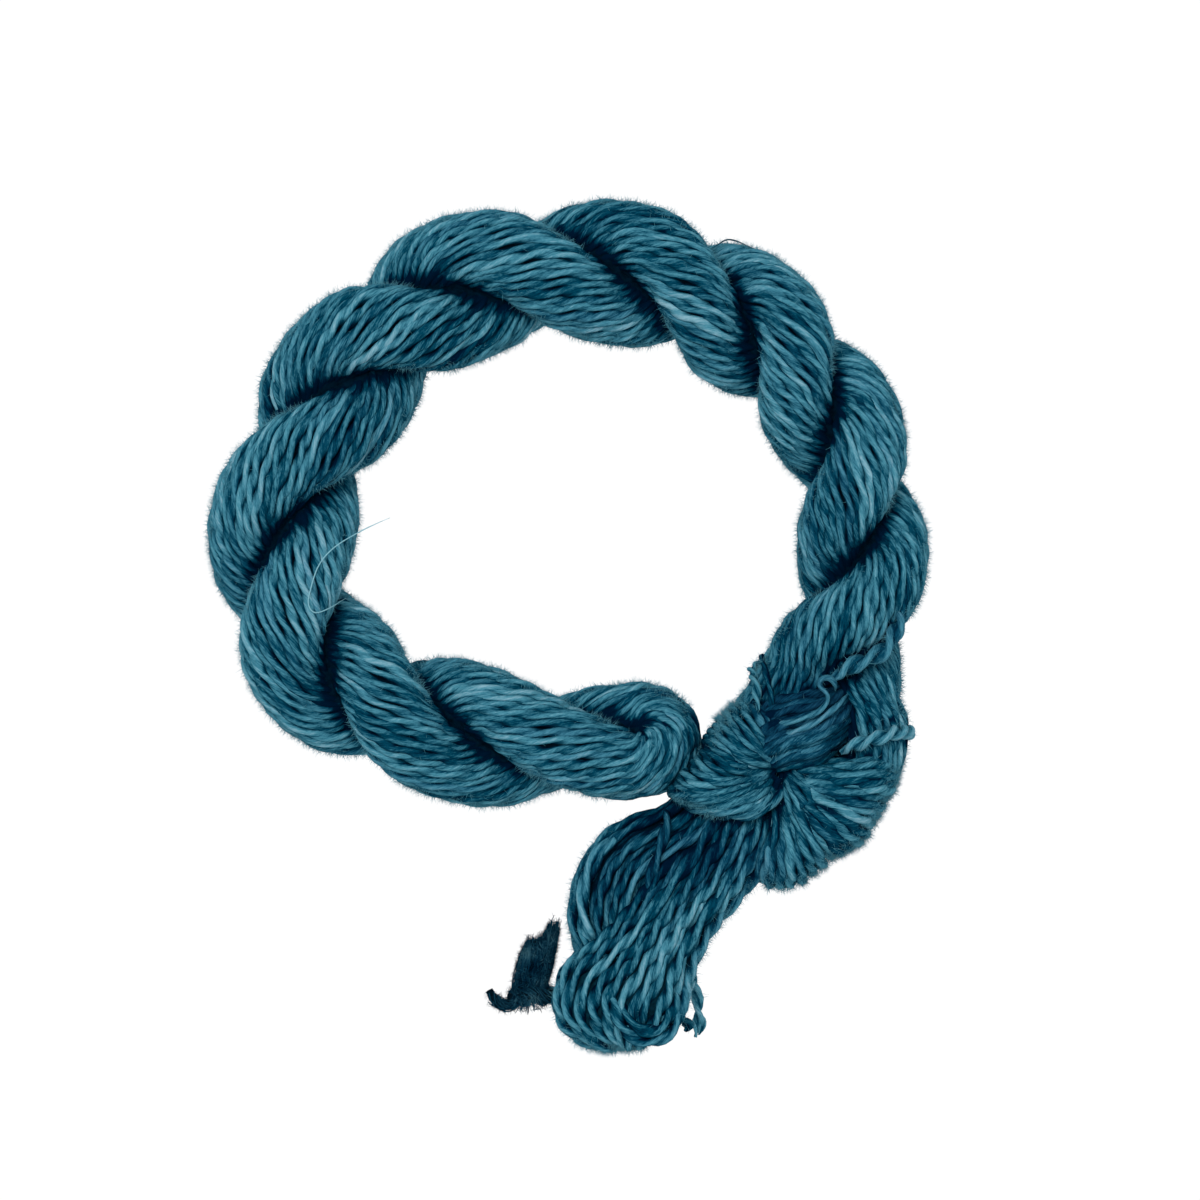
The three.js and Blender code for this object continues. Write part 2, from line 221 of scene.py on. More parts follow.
dyeAndShadePatches = [  # x, y, half-width in mm, change of shade, blue: where the hand dye took more or less, and some painted shade, as beside the choke tie
    (8.0, -44.0, 9.0, -0.20, 0.25),
    (20.0, -39.0, 7.0, -0.36, 0.20),
    (33.5, -42.0, 6.0, -0.20, 0.35),
    (17.0, -49.0, 5.0, -0.15, 0.0),
    (22.0, -65.5, 5.0, 0.34, 0.0),
    (18.0, -75.0, 3.0, 0.35, 0.0),
    (12.5, -69.5, 2.5, -0.35, 0.0),
    (27.5, -21.5, 4.0, -0.15, 0.0),
    (39.0, -11.0, 3.0, -0.20, 0.0),
    (53.0, -34.0, 4.5, 0.18, 0.0),
    (8.0, -38.0, 5.0, 0.12, 0.0),
    (31.0, -24.0, 7.0, -0.17, 0.0),
    (48.0, -33.0, 8.0, -0.21, 0.0),
    (45.0, -3.0, 7.0, -0.08, 0.0),
    # painted shadow beside the choke tie, where the rope dips under it
    (49.0, -4.5, 3.5, -0.22, 0.0),
    (36.5, -16.0, 4.0, 0.0, 0.20),
    (44.0, -11.5, 4.0, -0.20, 0.30),
    (54.0, -13.0, 4.5, -0.33, 0.0),
    (25.0, -42.0, 5.0, -0.30, 0.20),
    (31.0, -29.5, 6.0, -0.12, 0.0),
    (55.5, -21.5, 5.0, -0.18, 0.0),
    (46.0, -31.8, 2.6, -0.18, 0.0),
    (52.0, 18.0, 9.0, -0.10, 0.0),
    (12.0, -66.0, 8.0, 0.10, 0.0),
    (22.0, -57.0, 6.0, 0.12, 0.0),
    (-53.0, 21.0, 7.0, -0.10, 0.0),
    (-30.0, 40.0, 5.0, -0.08, 0.0),
    (4.0, 62.0, 9.0, -0.10, 0.0),
    (-30.0, -14.0, 8.0, -0.04, 0.0),
    (-12.0, -21.0, 8.0, -0.13, 0.0),
    (-6.4, -62.2, 1.6, -0.80, 0.0),
    (-8.4, -65.2, 1.3, -0.60, 0.0),
    (-8.0, -59.8, 1.1, 1.40, 0.0),
    (-6.8, -67.8, 1.0, 1.40, 0.0),
    (-4.7, -65.0, 0.8, 0.80, 0.0),
    (-3.0, -57.0, 1.2, 0.70, 0.0),
]


def dyeAndShadeAt(points):
    patches = np.array(dyeAndShadePatches)
    gap = np.linalg.norm(points[:, None, :2] - patches[None, :, :2], axis=2)
    weight = np.exp(-(gap / patches[:, 2]) ** 2)
    return weight @ patches[:, 3], weight @ patches[:, 4]


def yarn(points, radius=plied["radius"], drift=plied["drift"], plyLength=plied["plyLength"], step=None,
         shade=0.0, tint=0.0, taper=0.0, loose=0.0, least=0.0):
    # one yarn: evenly spaced points, thickness, turn of the plies and its own shade, part of which is
    # painted shade from the patches
    points = smoothed(resample(points, 0.5 * (step or 1)), plied["smoothing"])
    points = resample(points, step or plied["step"])
    run = lengths(points)
    points = points + drift * wander(run, plied["driftWave"], 3)
    thickness = radius * (1 + plied["uneven"] * wander(run, plied["unevenWave"], 1)[:, 0])
    if taper:
        thickness = thickness * mix(plied["tip"], 1.0, smoothStep(np.minimum(run, run[-1] - run) / taper))
    points[:, 2] = softMax(points[:, 2], plied["rest"] * radius, plied["settle"])
    turnRate = 2 * math.pi / (plyLength * rng.uniform(*plied["plyRange"]))
    tilt = -run * turnRate + rng.uniform(0, 2 * math.pi)
    tilt = tilt + plied["plyDrift"] * wander(run, plied["plyWave"], 1)[:, 0]
    # shade and blue from the patches: hand dye, and some painted shade
    darker, bluer = dyeAndShadeAt(points)
    dye = rng.normal(0, plied["shadeSpread"])
    dye = dye + plied["shadeDrift"] * wander(run, plied["shadeWave"], 1)[:, 0] + darker
    blue = tint + bluer + plied["tintDrift"] * wander(run, plied["tintWave"], 1)[:, 0]
    return {
        "points": points,
        "radius": thickness,
        "tilt": tilt,
        "shade": shade + dye * mix(1, plied["looseDye"], loose),
        "along": run + rng.uniform(0, plied["patternRange"]),
        "tint": np.clip(blue, 0, 1),
        "loose": np.full(len(run), loose),  # 1 for a yarn that is lit as if it lay free
        "least": np.full(len(run), least),  # openness to the light that it keeps
    }


# Node trees

def node(tree, kind, values=None, **settings):
    # new node with its settings, then the values and links of its inputs
    made = tree.nodes.new(kind)
    for key, value in settings.items():
        setattr(made, key, value)
    for key, value in (values or {}).items():
        if isinstance(value, bpy.types.NodeSocket):
            tree.links.new(value, made.inputs[key])
        else:
            made.inputs[key].default_value = value
    return made


def mathNode(tree, operation, first, second=None):
    values = {0: first} if second is None else {0: first, 1: second}
    return node(tree, "ShaderNodeMath", values, operation=operation).outputs[0]


def namedValue(tree, name, kind="FLOAT"):
    made = node(tree, "GeometryNodeInputNamedAttribute", {"Name": name}, data_type=kind)
    return made.outputs["Attribute"]


def stored(tree, geometry, name, value, kind="FLOAT"):
    values = {"Geometry": geometry, "Name": name, "Value": value}
    made = node(tree, "GeometryNodeStoreNamedAttribute", values, data_type=kind, domain="POINT")
    return made.outputs["Geometry"]


def newTree(name, sizes):
    # geometry tree with its named inputs, and what they give
    tree = bpy.data.node_groups.new(name, "GeometryNodeTree")
    for key, kind in (("Geometry", "Geometry"), *sizes, ("Material", "Material")):
        tree.interface.new_socket(key, in_out="INPUT", socket_type="NodeSocket" + kind)
    tree.interface.new_socket("Geometry", in_out="OUTPUT", socket_type="NodeSocketGeometry")
    return tree, node(tree, "NodeGroupInput").outputs


def closeTree(tree, geometry, given):
    real = node(tree, "GeometryNodeRealizeInstances", {"Geometry": geometry}).outputs["Geometry"]
    coloured = node(tree, "GeometryNodeSetMaterial", {"Geometry": real, "Material": given["Material"]})
    node(tree, "NodeGroupOutput", {"Geometry": coloured.outputs["Geometry"]})
    return tree


def buildYarnTree():
    # edge chains in, plied yarn out: a two-lobed section turned along each chain
    tree, given = newTree("pliedYarn", [("Spread", "Float"), ("Sides", "Int")])
    thickness = namedValue(tree, "yarnRadius")
    chains = node(tree, "GeometryNodeMeshToCurve", {"Mesh": given["Geometry"]}).outputs["Curve"]
    tilt = {"Curve": chains, "Tilt": namedValue(tree, "plyTilt")}
    turned = node(tree, "GeometryNodeSetCurveTilt", tilt).outputs["Curve"]
    sized = node(tree, "GeometryNodeSetCurveRadius", {"Curve": turned, "Radius": thickness})
    # section: outline of two plies side by side
    ring = {"Radius": 1.0, "Resolution": given["Sides"]}
    circle = node(tree, "GeometryNodeCurvePrimitiveCircle", ring, mode="RADIUS").outputs["Curve"]
    place = node(tree, "GeometryNodeInputPosition").outputs[0]
    parts = node(tree, "ShaderNodeSeparateXYZ", {0: place}).outputs
    spread = given["Spread"]
    side = mathNode(tree, "MULTIPLY", mathNode(tree, "ABSOLUTE", parts["X"]), spread)
    high = mathNode(tree, "POWER", mathNode(tree, "MULTIPLY", parts["Y"], spread), 2.0)
    plySquare = mathNode(tree, "POWER", mathNode(tree, "SUBTRACT", 1.0, spread), 2.0)
    rest = mathNode(tree, "SQRT", mathNode(tree, "SUBTRACT", plySquare, high))
    reach = mathNode(tree, "ADD", side, rest)
    lobed = node(tree, "ShaderNodeVectorMath", {0: place, "Scale": reach}, operation="SCALE")
    marked = stored(tree, circle, "aroundYarn", place, "FLOAT_VECTOR")
    # how far out each place of the section lies, which the finish turns into painted highlight on the ply
    # crests and painted shade between them
    crested = stored(tree, marked, "plyCrest", reach)
    section = node(tree, "GeometryNodeSetPosition", {"Geometry": crested, "Position": lobed.outputs[0]})
    swept = node(tree, "GeometryNodeCurveToMesh", {
        "Curve": sized.outputs["Curve"],
        "Profile Curve": section.outputs["Geometry"],
        "Scale": thickness,
        "Fill Caps": True,
    })
    # how squarely each place of a yarn faces out of the wound form and up to the light; the yarn finish
    # paints shade in the gaps between yarns where this is low
    normal = node(tree, "GeometryNodeInputNormal").outputs["Normal"]
    outward = {0: normal, 1: namedValue(tree, "lit", "FLOAT_VECTOR")}
    square = node(tree, "ShaderNodeVectorMath", outward, operation="DOT_PRODUCT").outputs["Value"]
    shown = mathNode(tree, "MULTIPLY", namedValue(tree, "loose"), 0.85)
    facing = mathNode(tree, "MAXIMUM", square, shown)
    faced = stored(tree, swept.outputs["Mesh"], "facing", facing)
    smooth = node(tree, "GeometryNodeSetShadeSmooth", {"Geometry": faced}).outputs["Geometry"]
    return closeTree(tree, smooth, given)


# Pieces

def setInputs(modifier, values):
    # the values that the tree has a socket for
    for item in modifier.node_group.interface.items_tree:
        if item.item_type == "SOCKET" and item.in_out == "INPUT" and item.name in values:
            modifier[item.identifier] = values[item.name]


def putValues(mesh, name, values):
    flat = values.ndim == 1
    layer = mesh.attributes.new(name, "FLOAT" if flat else "FLOAT_VECTOR", "POINT")
    layer.data.foreach_set("value" if flat else "vector", values.astype(np.float32).ravel())


def chainMesh(name, yarns, alone):
    # edge chains with the values that the yarn tree and the yarn finish read
    def joined(key):
        return np.concatenate([y[key] for y in yarns])

    points = joined("points") * mm
    first = np.cumsum([0] + [len(y["points"]) for y in yarns])
    edges = np.concatenate([np.stack([np.arange(a, b - 1), np.arange(a + 1, b)], axis=1)
                            for a, b in zip(first[:-1], first[1:])])
    mesh = bpy.data.meshes.new(name)
    mesh.vertices.add(len(points))
    mesh.vertices.foreach_set("co", points.astype(np.float32).ravel())
    mesh.edges.add(len(edges))
    mesh.edges.foreach_set("vertices", edges.astype(np.int32).ravel())
    putValues(mesh, "yarnRadius", joined("radius") * mm)
    for key, attribute in (("tilt", "plyTilt"), ("shade", "shade"), ("along", "alongYarn"),
                           ("tint", "tint"), ("loose", "loose")):
        putValues(mesh, attribute, joined(key))
    least = joined("least")
    if alone:
        away = lit = np.tile(up, (len(points), 1))
        openness = np.where(least > 0, least, 1.0)
    else:
        away, lit, openness = outsideOf(points / mm)
        openness = np.maximum(openness, least)
        lit[(least > 0) & ~lit.any(axis=1)] = up
    putValues(mesh, "away", away)
    putValues(mesh, "lit", lit)
    putValues(mesh, "openness", openness)
    mesh.update()
    return mesh


def addPiece(name, data):
    piece = bpy.data.objects.new(name, data)
    bpy.context.scene.collection.objects.link(piece)
    return piece


def grown(name, source, tree, values):
    # runs a tree on a mesh and keeps the result as a plain mesh
    maker = addPiece(name + "Maker", source)
    modifier = maker.modifiers.new("sweep", "NODES")
    modifier.node_group = tree
    setInputs(modifier, values)
    graph = bpy.context.evaluated_depsgraph_get()
    shown = maker.evaluated_get(graph)
    mesh = bpy.data.meshes.new_from_object(shown, preserve_all_data_layers=True, depsgraph=graph)
    mesh.name = name
    maker.modifiers.clear()
    bpy.data.objects.remove(maker)
    print(name, "triangles", sum(len(p.vertices) - 2 for p in mesh.polygons))
    return addPiece(name, mesh)


def sweptPiece(name, yarns, values, alone=False):
    # yarns as one plain mesh; alone marks yarns that don't lie on the wound form
    print(name, "yarns", len(yarns))
    return grown(name, chainMesh(name + "Chains", yarns, alone), yarnTree, values)


def standsFor(piece, solid):
    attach(piece, "root")
    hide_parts(solid)


# Finishes

# colours along the tone of a yarn: deep is mostly painted shade in creases and gaps, middle and light the
# yarn's own teal, pale a painted highlight; other is the bluer dye
tealYarn = {
    "deep": (0.0002, 0.011, 0.034),
    "middle": (0.0008, 0.068, 0.122),
    "light": (0.080, 0.314, 0.422),
    "pale": (0.285, 0.532, 0.640),
    "other": (0.034, 0.172, 0.336),  # bluer dye of the tinted yarns
    "roughness": 0.6,
    "streak": 1.7,
    "bump": 0.7,
}
# the same for the dark yarn of the end tie: deep is mostly painted shade, pale a painted highlight
darkYarn = {
    "deep": (0.0001, 0.002, 0.008),
    "middle": (0.0006, 0.024, 0.054),
    "light": (0.014, 0.080, 0.130),
    "pale": (0.050, 0.150, 0.200),
    "other": (0.008, 0.020, 0.060),
    "roughness": 0.75,
    "streak": 1.0,
    "bump": 0.3,
}
yarnTone = {
    "stops": [(0.02, "deep"), (0.35, "middle"), (0.7, "light"), (1.0, "pale")],
    "base": 0.375,
    "gain": 0.7,
    "crest": (0.85, 1.0),                # middle and weight of the plies' crests: painted highlight on them, painted shade where the plies dip
    "facing": (0.1, 1.0, 0.74, 0.62),    # lowest, highest, middle and weight of how a place faces out: painted shade in the gaps between yarns
    "openness": (0.30, 0.92, 0.8, 1.4),  # the same, of how open it is to the light: painted shade in creases and hollows
    "lengthwise": 0.2,                   # how soon the fibres change along a yarn, for each mm
    "fibre": {"Scale": 3.6, "Detail": 4.0, "Roughness": 0.7},
    "bumpDepth": 0.00025,
}


def newFinish(name, roughness, specular=0.0):
    # material, its node tree and the inputs of its shader
    material = bpy.data.materials.new(name)
    material.use_nodes = True
    shader = material.node_tree.nodes["Principled BSDF"].inputs
    shader["Roughness"].default_value = roughness
    shader["Specular IOR Level"].default_value = specular
    return material, material.node_tree, shader


def plainFinish(name, colour, roughness):
    material, _, shader = newFinish(name, roughness)
    shader["Base Color"].default_value = (*colour, 1)
    return material


def colourRamp(tree, value, stops):
    # colours at their places from 0 to 1
    made = node(tree, "ShaderNodeValToRGB", {"Fac": value})
    elements = made.color_ramp.elements
    for element, (place, colour) in zip(elements, (stops[0], stops[-1])):
        element.position = place
        element.color = (*colour, 1)
    for place, colour in stops[1:-1]:
        elements.new(place).color = (*colour, 1)
    return made.outputs["Color"]


def yarnFinish(name, look):
    # fibres run along the plies; the shade drifts along each yarn as in a hand dye; painted shade and
    # highlights come from the ply crests, how each place faces out and how open it is
    material, tree, shader = newFinish(name, look["roughness"])

    def attribute(key, output="Fac"):
        return node(tree, "ShaderNodeAttribute", attribute_name=key).outputs[output]

    def eased(value, low, high):
        values = {"Value": value, "From Min": low, "From Max": high}
        return node(tree, "ShaderNodeMapRange", values, interpolation_type="SMOOTHSTEP").outputs["Result"]

    def offset(value, middle, weight):
        return mathNode(tree, "MULTIPLY", mathNode(tree, "SUBTRACT", value, middle), weight)

    parts = node(tree, "ShaderNodeSeparateXYZ", {0: attribute("aroundYarn", "Vector")}).outputs
    lengthwise = mathNode(tree, "MULTIPLY", attribute("alongYarn"), yarnTone["lengthwise"])
    place = node(tree, "ShaderNodeCombineXYZ", {"X": parts["X"], "Y": parts["Y"], "Z": lengthwise})
    pattern = {"Vector": place.outputs[0], **yarnTone["fibre"]}
    fibre = node(tree, "ShaderNodeTexNoise", pattern, noise_dimensions="3D").outputs["Fac"]
    tone = mathNode(tree, "ADD", attribute("shade"), yarnTone["base"])
    tone = mathNode(tree, "ADD", tone, offset(fibre, 0.5, look["streak"]))
    # painted highlight on the ply crests and painted shade between them
    tone = mathNode(tree, "ADD", tone, offset(attribute("plyCrest"), *yarnTone["crest"]))
    # painted shade: darker where a place faces away from the light, and where the wound form shuts it in
    for key in ("facing", "openness"):
        low, high, middle, weight = yarnTone[key]
        tone = mathNode(tree, "ADD", tone, offset(eased(attribute(key), low, high), middle, weight))
    tone = mathNode(tree, "MULTIPLY", tone, yarnTone["gain"])
    dyed = colourRamp(tree, tone, [(place, look[key]) for place, key in yarnTone["stops"]])
    bluer = colourRamp(tree, tone, [(0.0, look["deep"]), (1.0, look["other"])])
    shares = {"Factor": attribute("tint"), "A": dyed, "B": bluer}
    blend = node(tree, "ShaderNodeMix", shares, data_type="RGBA")
    tree.links.new(blend.outputs["Result"], shader["Base Color"])
    relief = {"Strength": look["bump"], "Distance": yarnTone["bumpDepth"], "Height": fibre}
    tree.links.new(node(tree, "ShaderNodeBump", relief).outputs["Normal"], shader["Normal"])
    return material


teal = yarnFinish("tealYarn", tealYarn)
navy = yarnFinish("darkYarn", darkYarn)
yarnTree = buildYarnTree()


def yarnInputs(spread, material=teal, sides=plied["sides"]):
    # spread: ply centre from the yarn axis, as a share of the radius
    return {"Spread": spread, "Sides": sides, "Material": material}


def innerFinish(name, colour):
    # yarns deep inside, seen only through gaps, coloured darker than the yarn itself as painted shade
    material, tree, shader = newFinish(name, 0.85)
    mottle = {"Vector": node(tree, "ShaderNodeTexCoord").outputs["Object"], "Scale": 900.0, "Detail": 2.0}
    noise = node(tree, "ShaderNodeTexNoise", mottle, noise_dimensions="3D").outputs["Fac"]
    colours = colourRamp(tree, noise, [(0.3, [0.4 * c for c in colour]), (0.75, colour)])
    tree.links.new(colours, shader["Base Color"])
    return material


# painted shade in the gaps: these insides are darker than the yarns that cover them
insideShadeTeal = innerFinish("insideShadeTeal", (0.001, 0.016, 0.036))
gapShadeTeal = innerFinish("gapShadeTeal", (0.004, 0.042, 0.070))
insideShadeNavy = innerFinish("insideShadeNavy", (0.002, 0.012, 0.022))


def outwards(mesh):
    shape = bmesh.new()
    shape.from_mesh(mesh)
    bmesh.ops.recalc_face_normals(shape, faces=shape.faces)
    shape.to_mesh(mesh)
    shape.free()


def tubePiece(name, lines, material):
    # closed skin over lines that run side by side round a bundle
    grid = np.stack(lines, axis=1)
    count, sides = grid.shape[:2]
    points = np.concatenate([grid.reshape(-1, 3), [grid[0].mean(axis=0), grid[-1].mean(axis=0)]])
    points[:, 2] = np.maximum(points[:, 2], 0.2)
    last = (count - 1) * sides
    ring = [(i, (i + 1) % sides) for i in range(sides)]
    faces = [(r + i, r + j, r + sides + j, r + sides + i) for r in range(0, last, sides) for i, j in ring]
    for i, j in ring:
        faces += [(last + sides, j, i), (last + sides + 1, last + i, last + j)]
    mesh = bpy.data.meshes.new(name)
    mesh.from_pydata((points * mm).tolist(), [], faces)
    outwards(mesh)
    mesh.materials.append(material)
    mesh.polygons.foreach_set("use_smooth", np.ones(len(mesh.polygons), bool))
    return addPiece(name, mesh)


# Routes of the ties, and of the yarn's own loose end, which the other yarns make room for

ties = {
    "choke_tie": [  # x, y, z
        (46.6, -9.7, 19.4), (50.8, -7.0, 19.4), (55.4, -5.0, 18.6), (57.4, -2.6, 18.0),
        (58.5, -0.4, 17.4), (59.4, 1.8, 15.0), (60.4, 3.4, 10.0), (59.0, 4.0, 4.0),
        (54.0, 3.4, 1.5), (46.0, 0.5, 1.5), (38.5, -4.5, 1.7), (34.2, -7.2, 5),
        (32.6, -8.2, 10), (33.2, -10.4, 15.4), (33.6, -15.2, 18.2),
    ],
    "loop_tie": [
        (48.4, -22.8, 17.2), (51.0, -21.4, 19.2), (54.6, -20.2, 20.4), (58.0, -19.2, 18.6),
        (60.6, -19.2, 13.5), (60.4, -19.8, 8), (57.5, -20.4, 2.8), (52.5, -21.0, 1.6),
    ],
    "yarn_end": [
        (18.6, -58.0, 6.5), (20.8, -61.5, 4.6), (22.6, -65.0, 3), (23.2, -68.2, 1.8),
        (23.4, -71.0, 1.3), (23.2, -73.0, 1.25), (22.8, -75.0, 1.0),
    ],
}
tieLook = {
    "radius": {"choke_tie": 1.75, "loop_tie": 1.45, "yarn_end": 1.25},
    "shade": {"choke_tie": 0.14, "loop_tie": 0.30, "yarn_end": 0.10},
    "spread": 0.5,
    "yarn": {"plyLength": 8.5, "drift": 0.05, "step": 0.5, "loose": 1.0},
    "thin": {"choke_tie": (0.72, 0.5)},  # share of the length from which a tie is thinner, and how thin
    "thinOver": 0.1,                     # share of the length over which it gets so
    "press": 4.5,      # mm either side of a tie over which the yarns dip under it
    "pressFrom": 0.8,  # mm from its middle
    "dip": 2.2,        # mm at most
    "top": 16.0,       # mm, only where a tie lies higher than this
    "plies": [         # an opened ply at the yarn's end and a stub beside it: x, y, z
        [(23.3, -70.4, 1.4), (24.1, -72.2, 1.4), (23.8, -73.6, 1.2), (23.4, -74.6, 0.9)],
        [(19.4, -70.4, 2.4), (21.0, -72.2, 1.9), (21.6, -73.2, 1.6), (20.8, -74.0, 1.4)],
    ],
    "plyRadius": (0.7, 1.3),
    "plyShade": (0.1, -0.3),
    "taper": 2.5,      # mm
    "plyTaper": 1.5,   # mm
    "fuzz": {"Top Density": 0.8e6, "Seed": 41},
}


def routeOf(rows):
    return along(rows, np.linspace(0, len(rows) - 1, 20 * len(rows)))


def underTies(points):
    # dips the yarns under the ties that lie across their tops
    out = points.copy()
    for name in ("choke_tie", "loop_tie"):
        route = routeOf(ties[name])
        route = route[route[:, 2] > tieLook["top"]]
        gap = np.linalg.norm(out[:, None, :2] - route[None, :, :2], axis=2)
        near = gap.argmin(axis=1)
        room = route[near, 2] - tieLook["radius"][name] - plied["radius"]
        share = smoothStep(1 - (gap.min(axis=1) - tieLook["pressFrom"]) / tieLook["press"])
        over = np.clip(out[:, 2] - room, 0, tieLook["dip"]) * (out[:, 2] > rope["height"])
        out[:, 2] -= over * share
    return out


# Rope: two strands laid round each other, made of one set of yarns that turns back at the fold

rope = {
    "rows": [  # x, y, half turns of the lay, size, lean of the strands on the outside of the ring
        (13.2, -20.8, -0.88, 0.83, 0),
        (-15.2, -20.2, -0.1, 0.98, -0.03),
        (-42.8, -8.9, 0.98, 1.03, 0.06),
        (-51.8, 15.0, 1.93, 1.05, -0.05),
        (-41.6, 42.1, 2.94, 1.06, 0.08),
        (-21.2, 59.8, 3.96, 1.04, 0.06),
        (7.6, 63.5, 4.95, 1.02, -0.03),
        (30.2, 55.5, 5.91, 1, -0.03),
        (47.1, 37.3, 7, 0.94, 0.1),
        (52.7, 14.2, 7.96, 0.93, 0.1),
        (47.2, -9.9, 9, 0.99, 0.1),
    ],
    "backLeg": [  # x, y, z, half-width, half-height
        (36.9, -16.2, 9.5, 7.5, 8.5),
        (31.5, -26.1, 8, 8, 8),
        (22.8, -36.8, 7, 7.4, 7.5),
        (11.6, -43.5, 6.5, 8.7, 7),
        (7.2, -52.6, 6, 8.2, 6.6),
        (8.2, -61, 6, 6.2, 6.4),
    ],
    "rightLeg": [
        (54.9, -16.5, 11.5, 6.6, 8.5),
        (54.0, -24.5, 10, 6.2, 8),
        (49.5, -32.5, 8.5, 5.5, 6.5),
    ],
    "height": 11.0,              # mm, of the rope's axis
    "offset": 6.0,               # mm from the axis to the middle of a strand
    "radial": 7.1,               # mm, half the size of a strand away from the axis
    "around": 9.0,               # mm, and across that
    "squash": 0.9,               # height of the rope, as a share of its width
    "foldStart": 0.12,           # rows past the start of the table where the strands turn back
    "foldReach": 6.5,            # mm, half the thickness of the turn-back
    "foldTurns": 0.3,            # half turns that the strand twist runs on to the tip of the fold
    "twist": 0.80,               # turns of the yarns in a strand for each half turn of the lay
    "legTwist": 0.1,             # radians for each row of a leg
    "legDrop": 1.4,              # mm that every other yarn lies deeper on the back leg
    "yarns": 29,
    "jitter": 0.12,              # how far a yarn may be off its place, as a share of the gap to the next
    "sink": 0.45,                # mm that a yarn may lie deeper
    "seamShare": 0.9,            # how near a yarn comes to the other strand, as a share of its depth
    "spread": 0.37,
    "legLeast": 0.70,            # openness to the light that the back leg keeps beside the knot
    "legCorner": (31.0, -30.0),  # mm, X and Y: the back leg shows to the left of it and below
    "legRise": 4.0,              # mm
    "edgeLeast": 0.66,           # openness that the creases keep at the edges of the rope
    "edgeRise": (4.5, 6.0),      # mm from the axis where an edge begins, and mm to its full share
    "foldLeast": 0.76,           # openness that the fold keeps beside the knot
    "foldRise": (3.0, 3.0),      # mm, as for the edges
    "foldShown": 0.5,            # light that the outer side of the fold catches
    "shownRise": (6.0, 2.0),     # mm, as for the edges
    "foldWidth": 14.0,           # mm
    "axisSteps": 400,
    "foldSteps": 4,              # steps at each end of the axis that aren't rope but fold or knot
    "coreInset": 2.3,
    "coreSeam": -1.2,            # mm, so the insides of the two strands run together
    "coreStep": 2.5,             # mm
    "coreSides": 18,
}


def ropeFrame(s):
    here, forward, outer = levelFrame(rope["rows"], s)
    axis = np.column_stack([here[:, :2], np.full(len(here), rope["height"])])
    return axis, forward, outer, *here[:, 2:].T


def strandAxes(outer, turn, side):
    angle = math.pi * (turn + side)
    tilt = rope["squash"] * up
    radial = outer * np.cos(angle)[:, None] + tilt * np.sin(angle)[:, None]
    around = -outer * np.sin(angle)[:, None] + tilt * np.cos(angle)[:, None]
    return radial, around


def pressed(centre, half, inset, psi, seam):
    # distance from the lay axis, flat where the two strands press on each other
    inner = np.where(np.cos(psi) < 0, min(inset, seam), inset)
    return softMax(centre + (half - inner) * np.cos(psi), seam, 0.6)


def strandPoints(s, side, psi, inset, seam):
    axis, forward, outer, turn, size, lean = ropeFrame(s)
    radial, around = strandAxes(outer, turn, side)
    reach = pressed(rope["offset"] * size, rope["radial"] * size, inset, psi, seam)
    across = (rope["around"] * size - inset) * np.sin(psi)
    points = axis + radial * reach[:, None] + around * across[:, None]
    ahead = lean * np.einsum("ij,ij->i", points - axis, outer)
    return points + forward * ahead[:, None]


def foldPoints(swing, side, psi, inset, seam):
    axis, forward, outer, turn, size, _ = ropeFrame(np.full(len(swing), rope["foldStart"]))
    radial, around = strandAxes(outer, turn, side)
    out = radial * np.cos(swing)[:, None] - forward * np.sin(swing)[:, None]
    share = smoothStep(swing / (math.pi / 2))
    centre = mix(rope["offset"] * size, rope["foldReach"], share)
    inside = mix(rope["radial"] * size, rope["foldReach"], share)
    reach = pressed(centre, inside, inset, psi, seam)
    across = (rope["around"] * size - inset) * np.sin(psi)
    return axis + out * reach[:, None] + around * across[:, None]


def bundlePoints(rows, s, theta, inset):
    here, forward, level = levelFrame(rows, s)
    wide = (here[:, 3] - inset) * np.cos(theta)
    high = (here[:, 4] - inset) * np.sin(theta)
    return here[:, :3] + level * wide[:, None] + up * high[:, None]


def ropeYarnRoute(start, inset, seam, twist, legTwist, legDrop=0.0):
    spin = 2 * math.pi * twist
    s = np.linspace(rope["foldStart"], len(rope["rows"]) - 1, 600)
    turn = along(rope["rows"], s)[:, 2]
    swing = np.radians(np.linspace(90, 0, 20, endpoint=False))
    foldTurn = turn[0] - rope["foldTurns"] * swing / (math.pi / 2)
    tipTurn = foldTurn[0]
    halves = []
    for side, leg in enumerate((rope["backLeg"], rope["rightLeg"])):
        base = start if side == 0 else 2 * spin * tipTurn - start
        fold = foldPoints(swing, side, base - spin * foldTurn, inset, seam)
        run = strandPoints(s, side, base - spin * turn, inset, seam)
        theta = base - spin * turn[-1] + math.pi * (turn[-1] + side)
        sLeg = np.linspace(0, len(leg) - 1, 20 * len(leg))
        depth = inset + (1 - side) * legDrop * smoothStep(sLeg / 2)
        end = bundlePoints(leg, sLeg, theta - legTwist * sLeg, depth)
        halves.append(np.concatenate([fold, run, end]))
    return np.concatenate([halves[0][:0:-1], halves[1]])


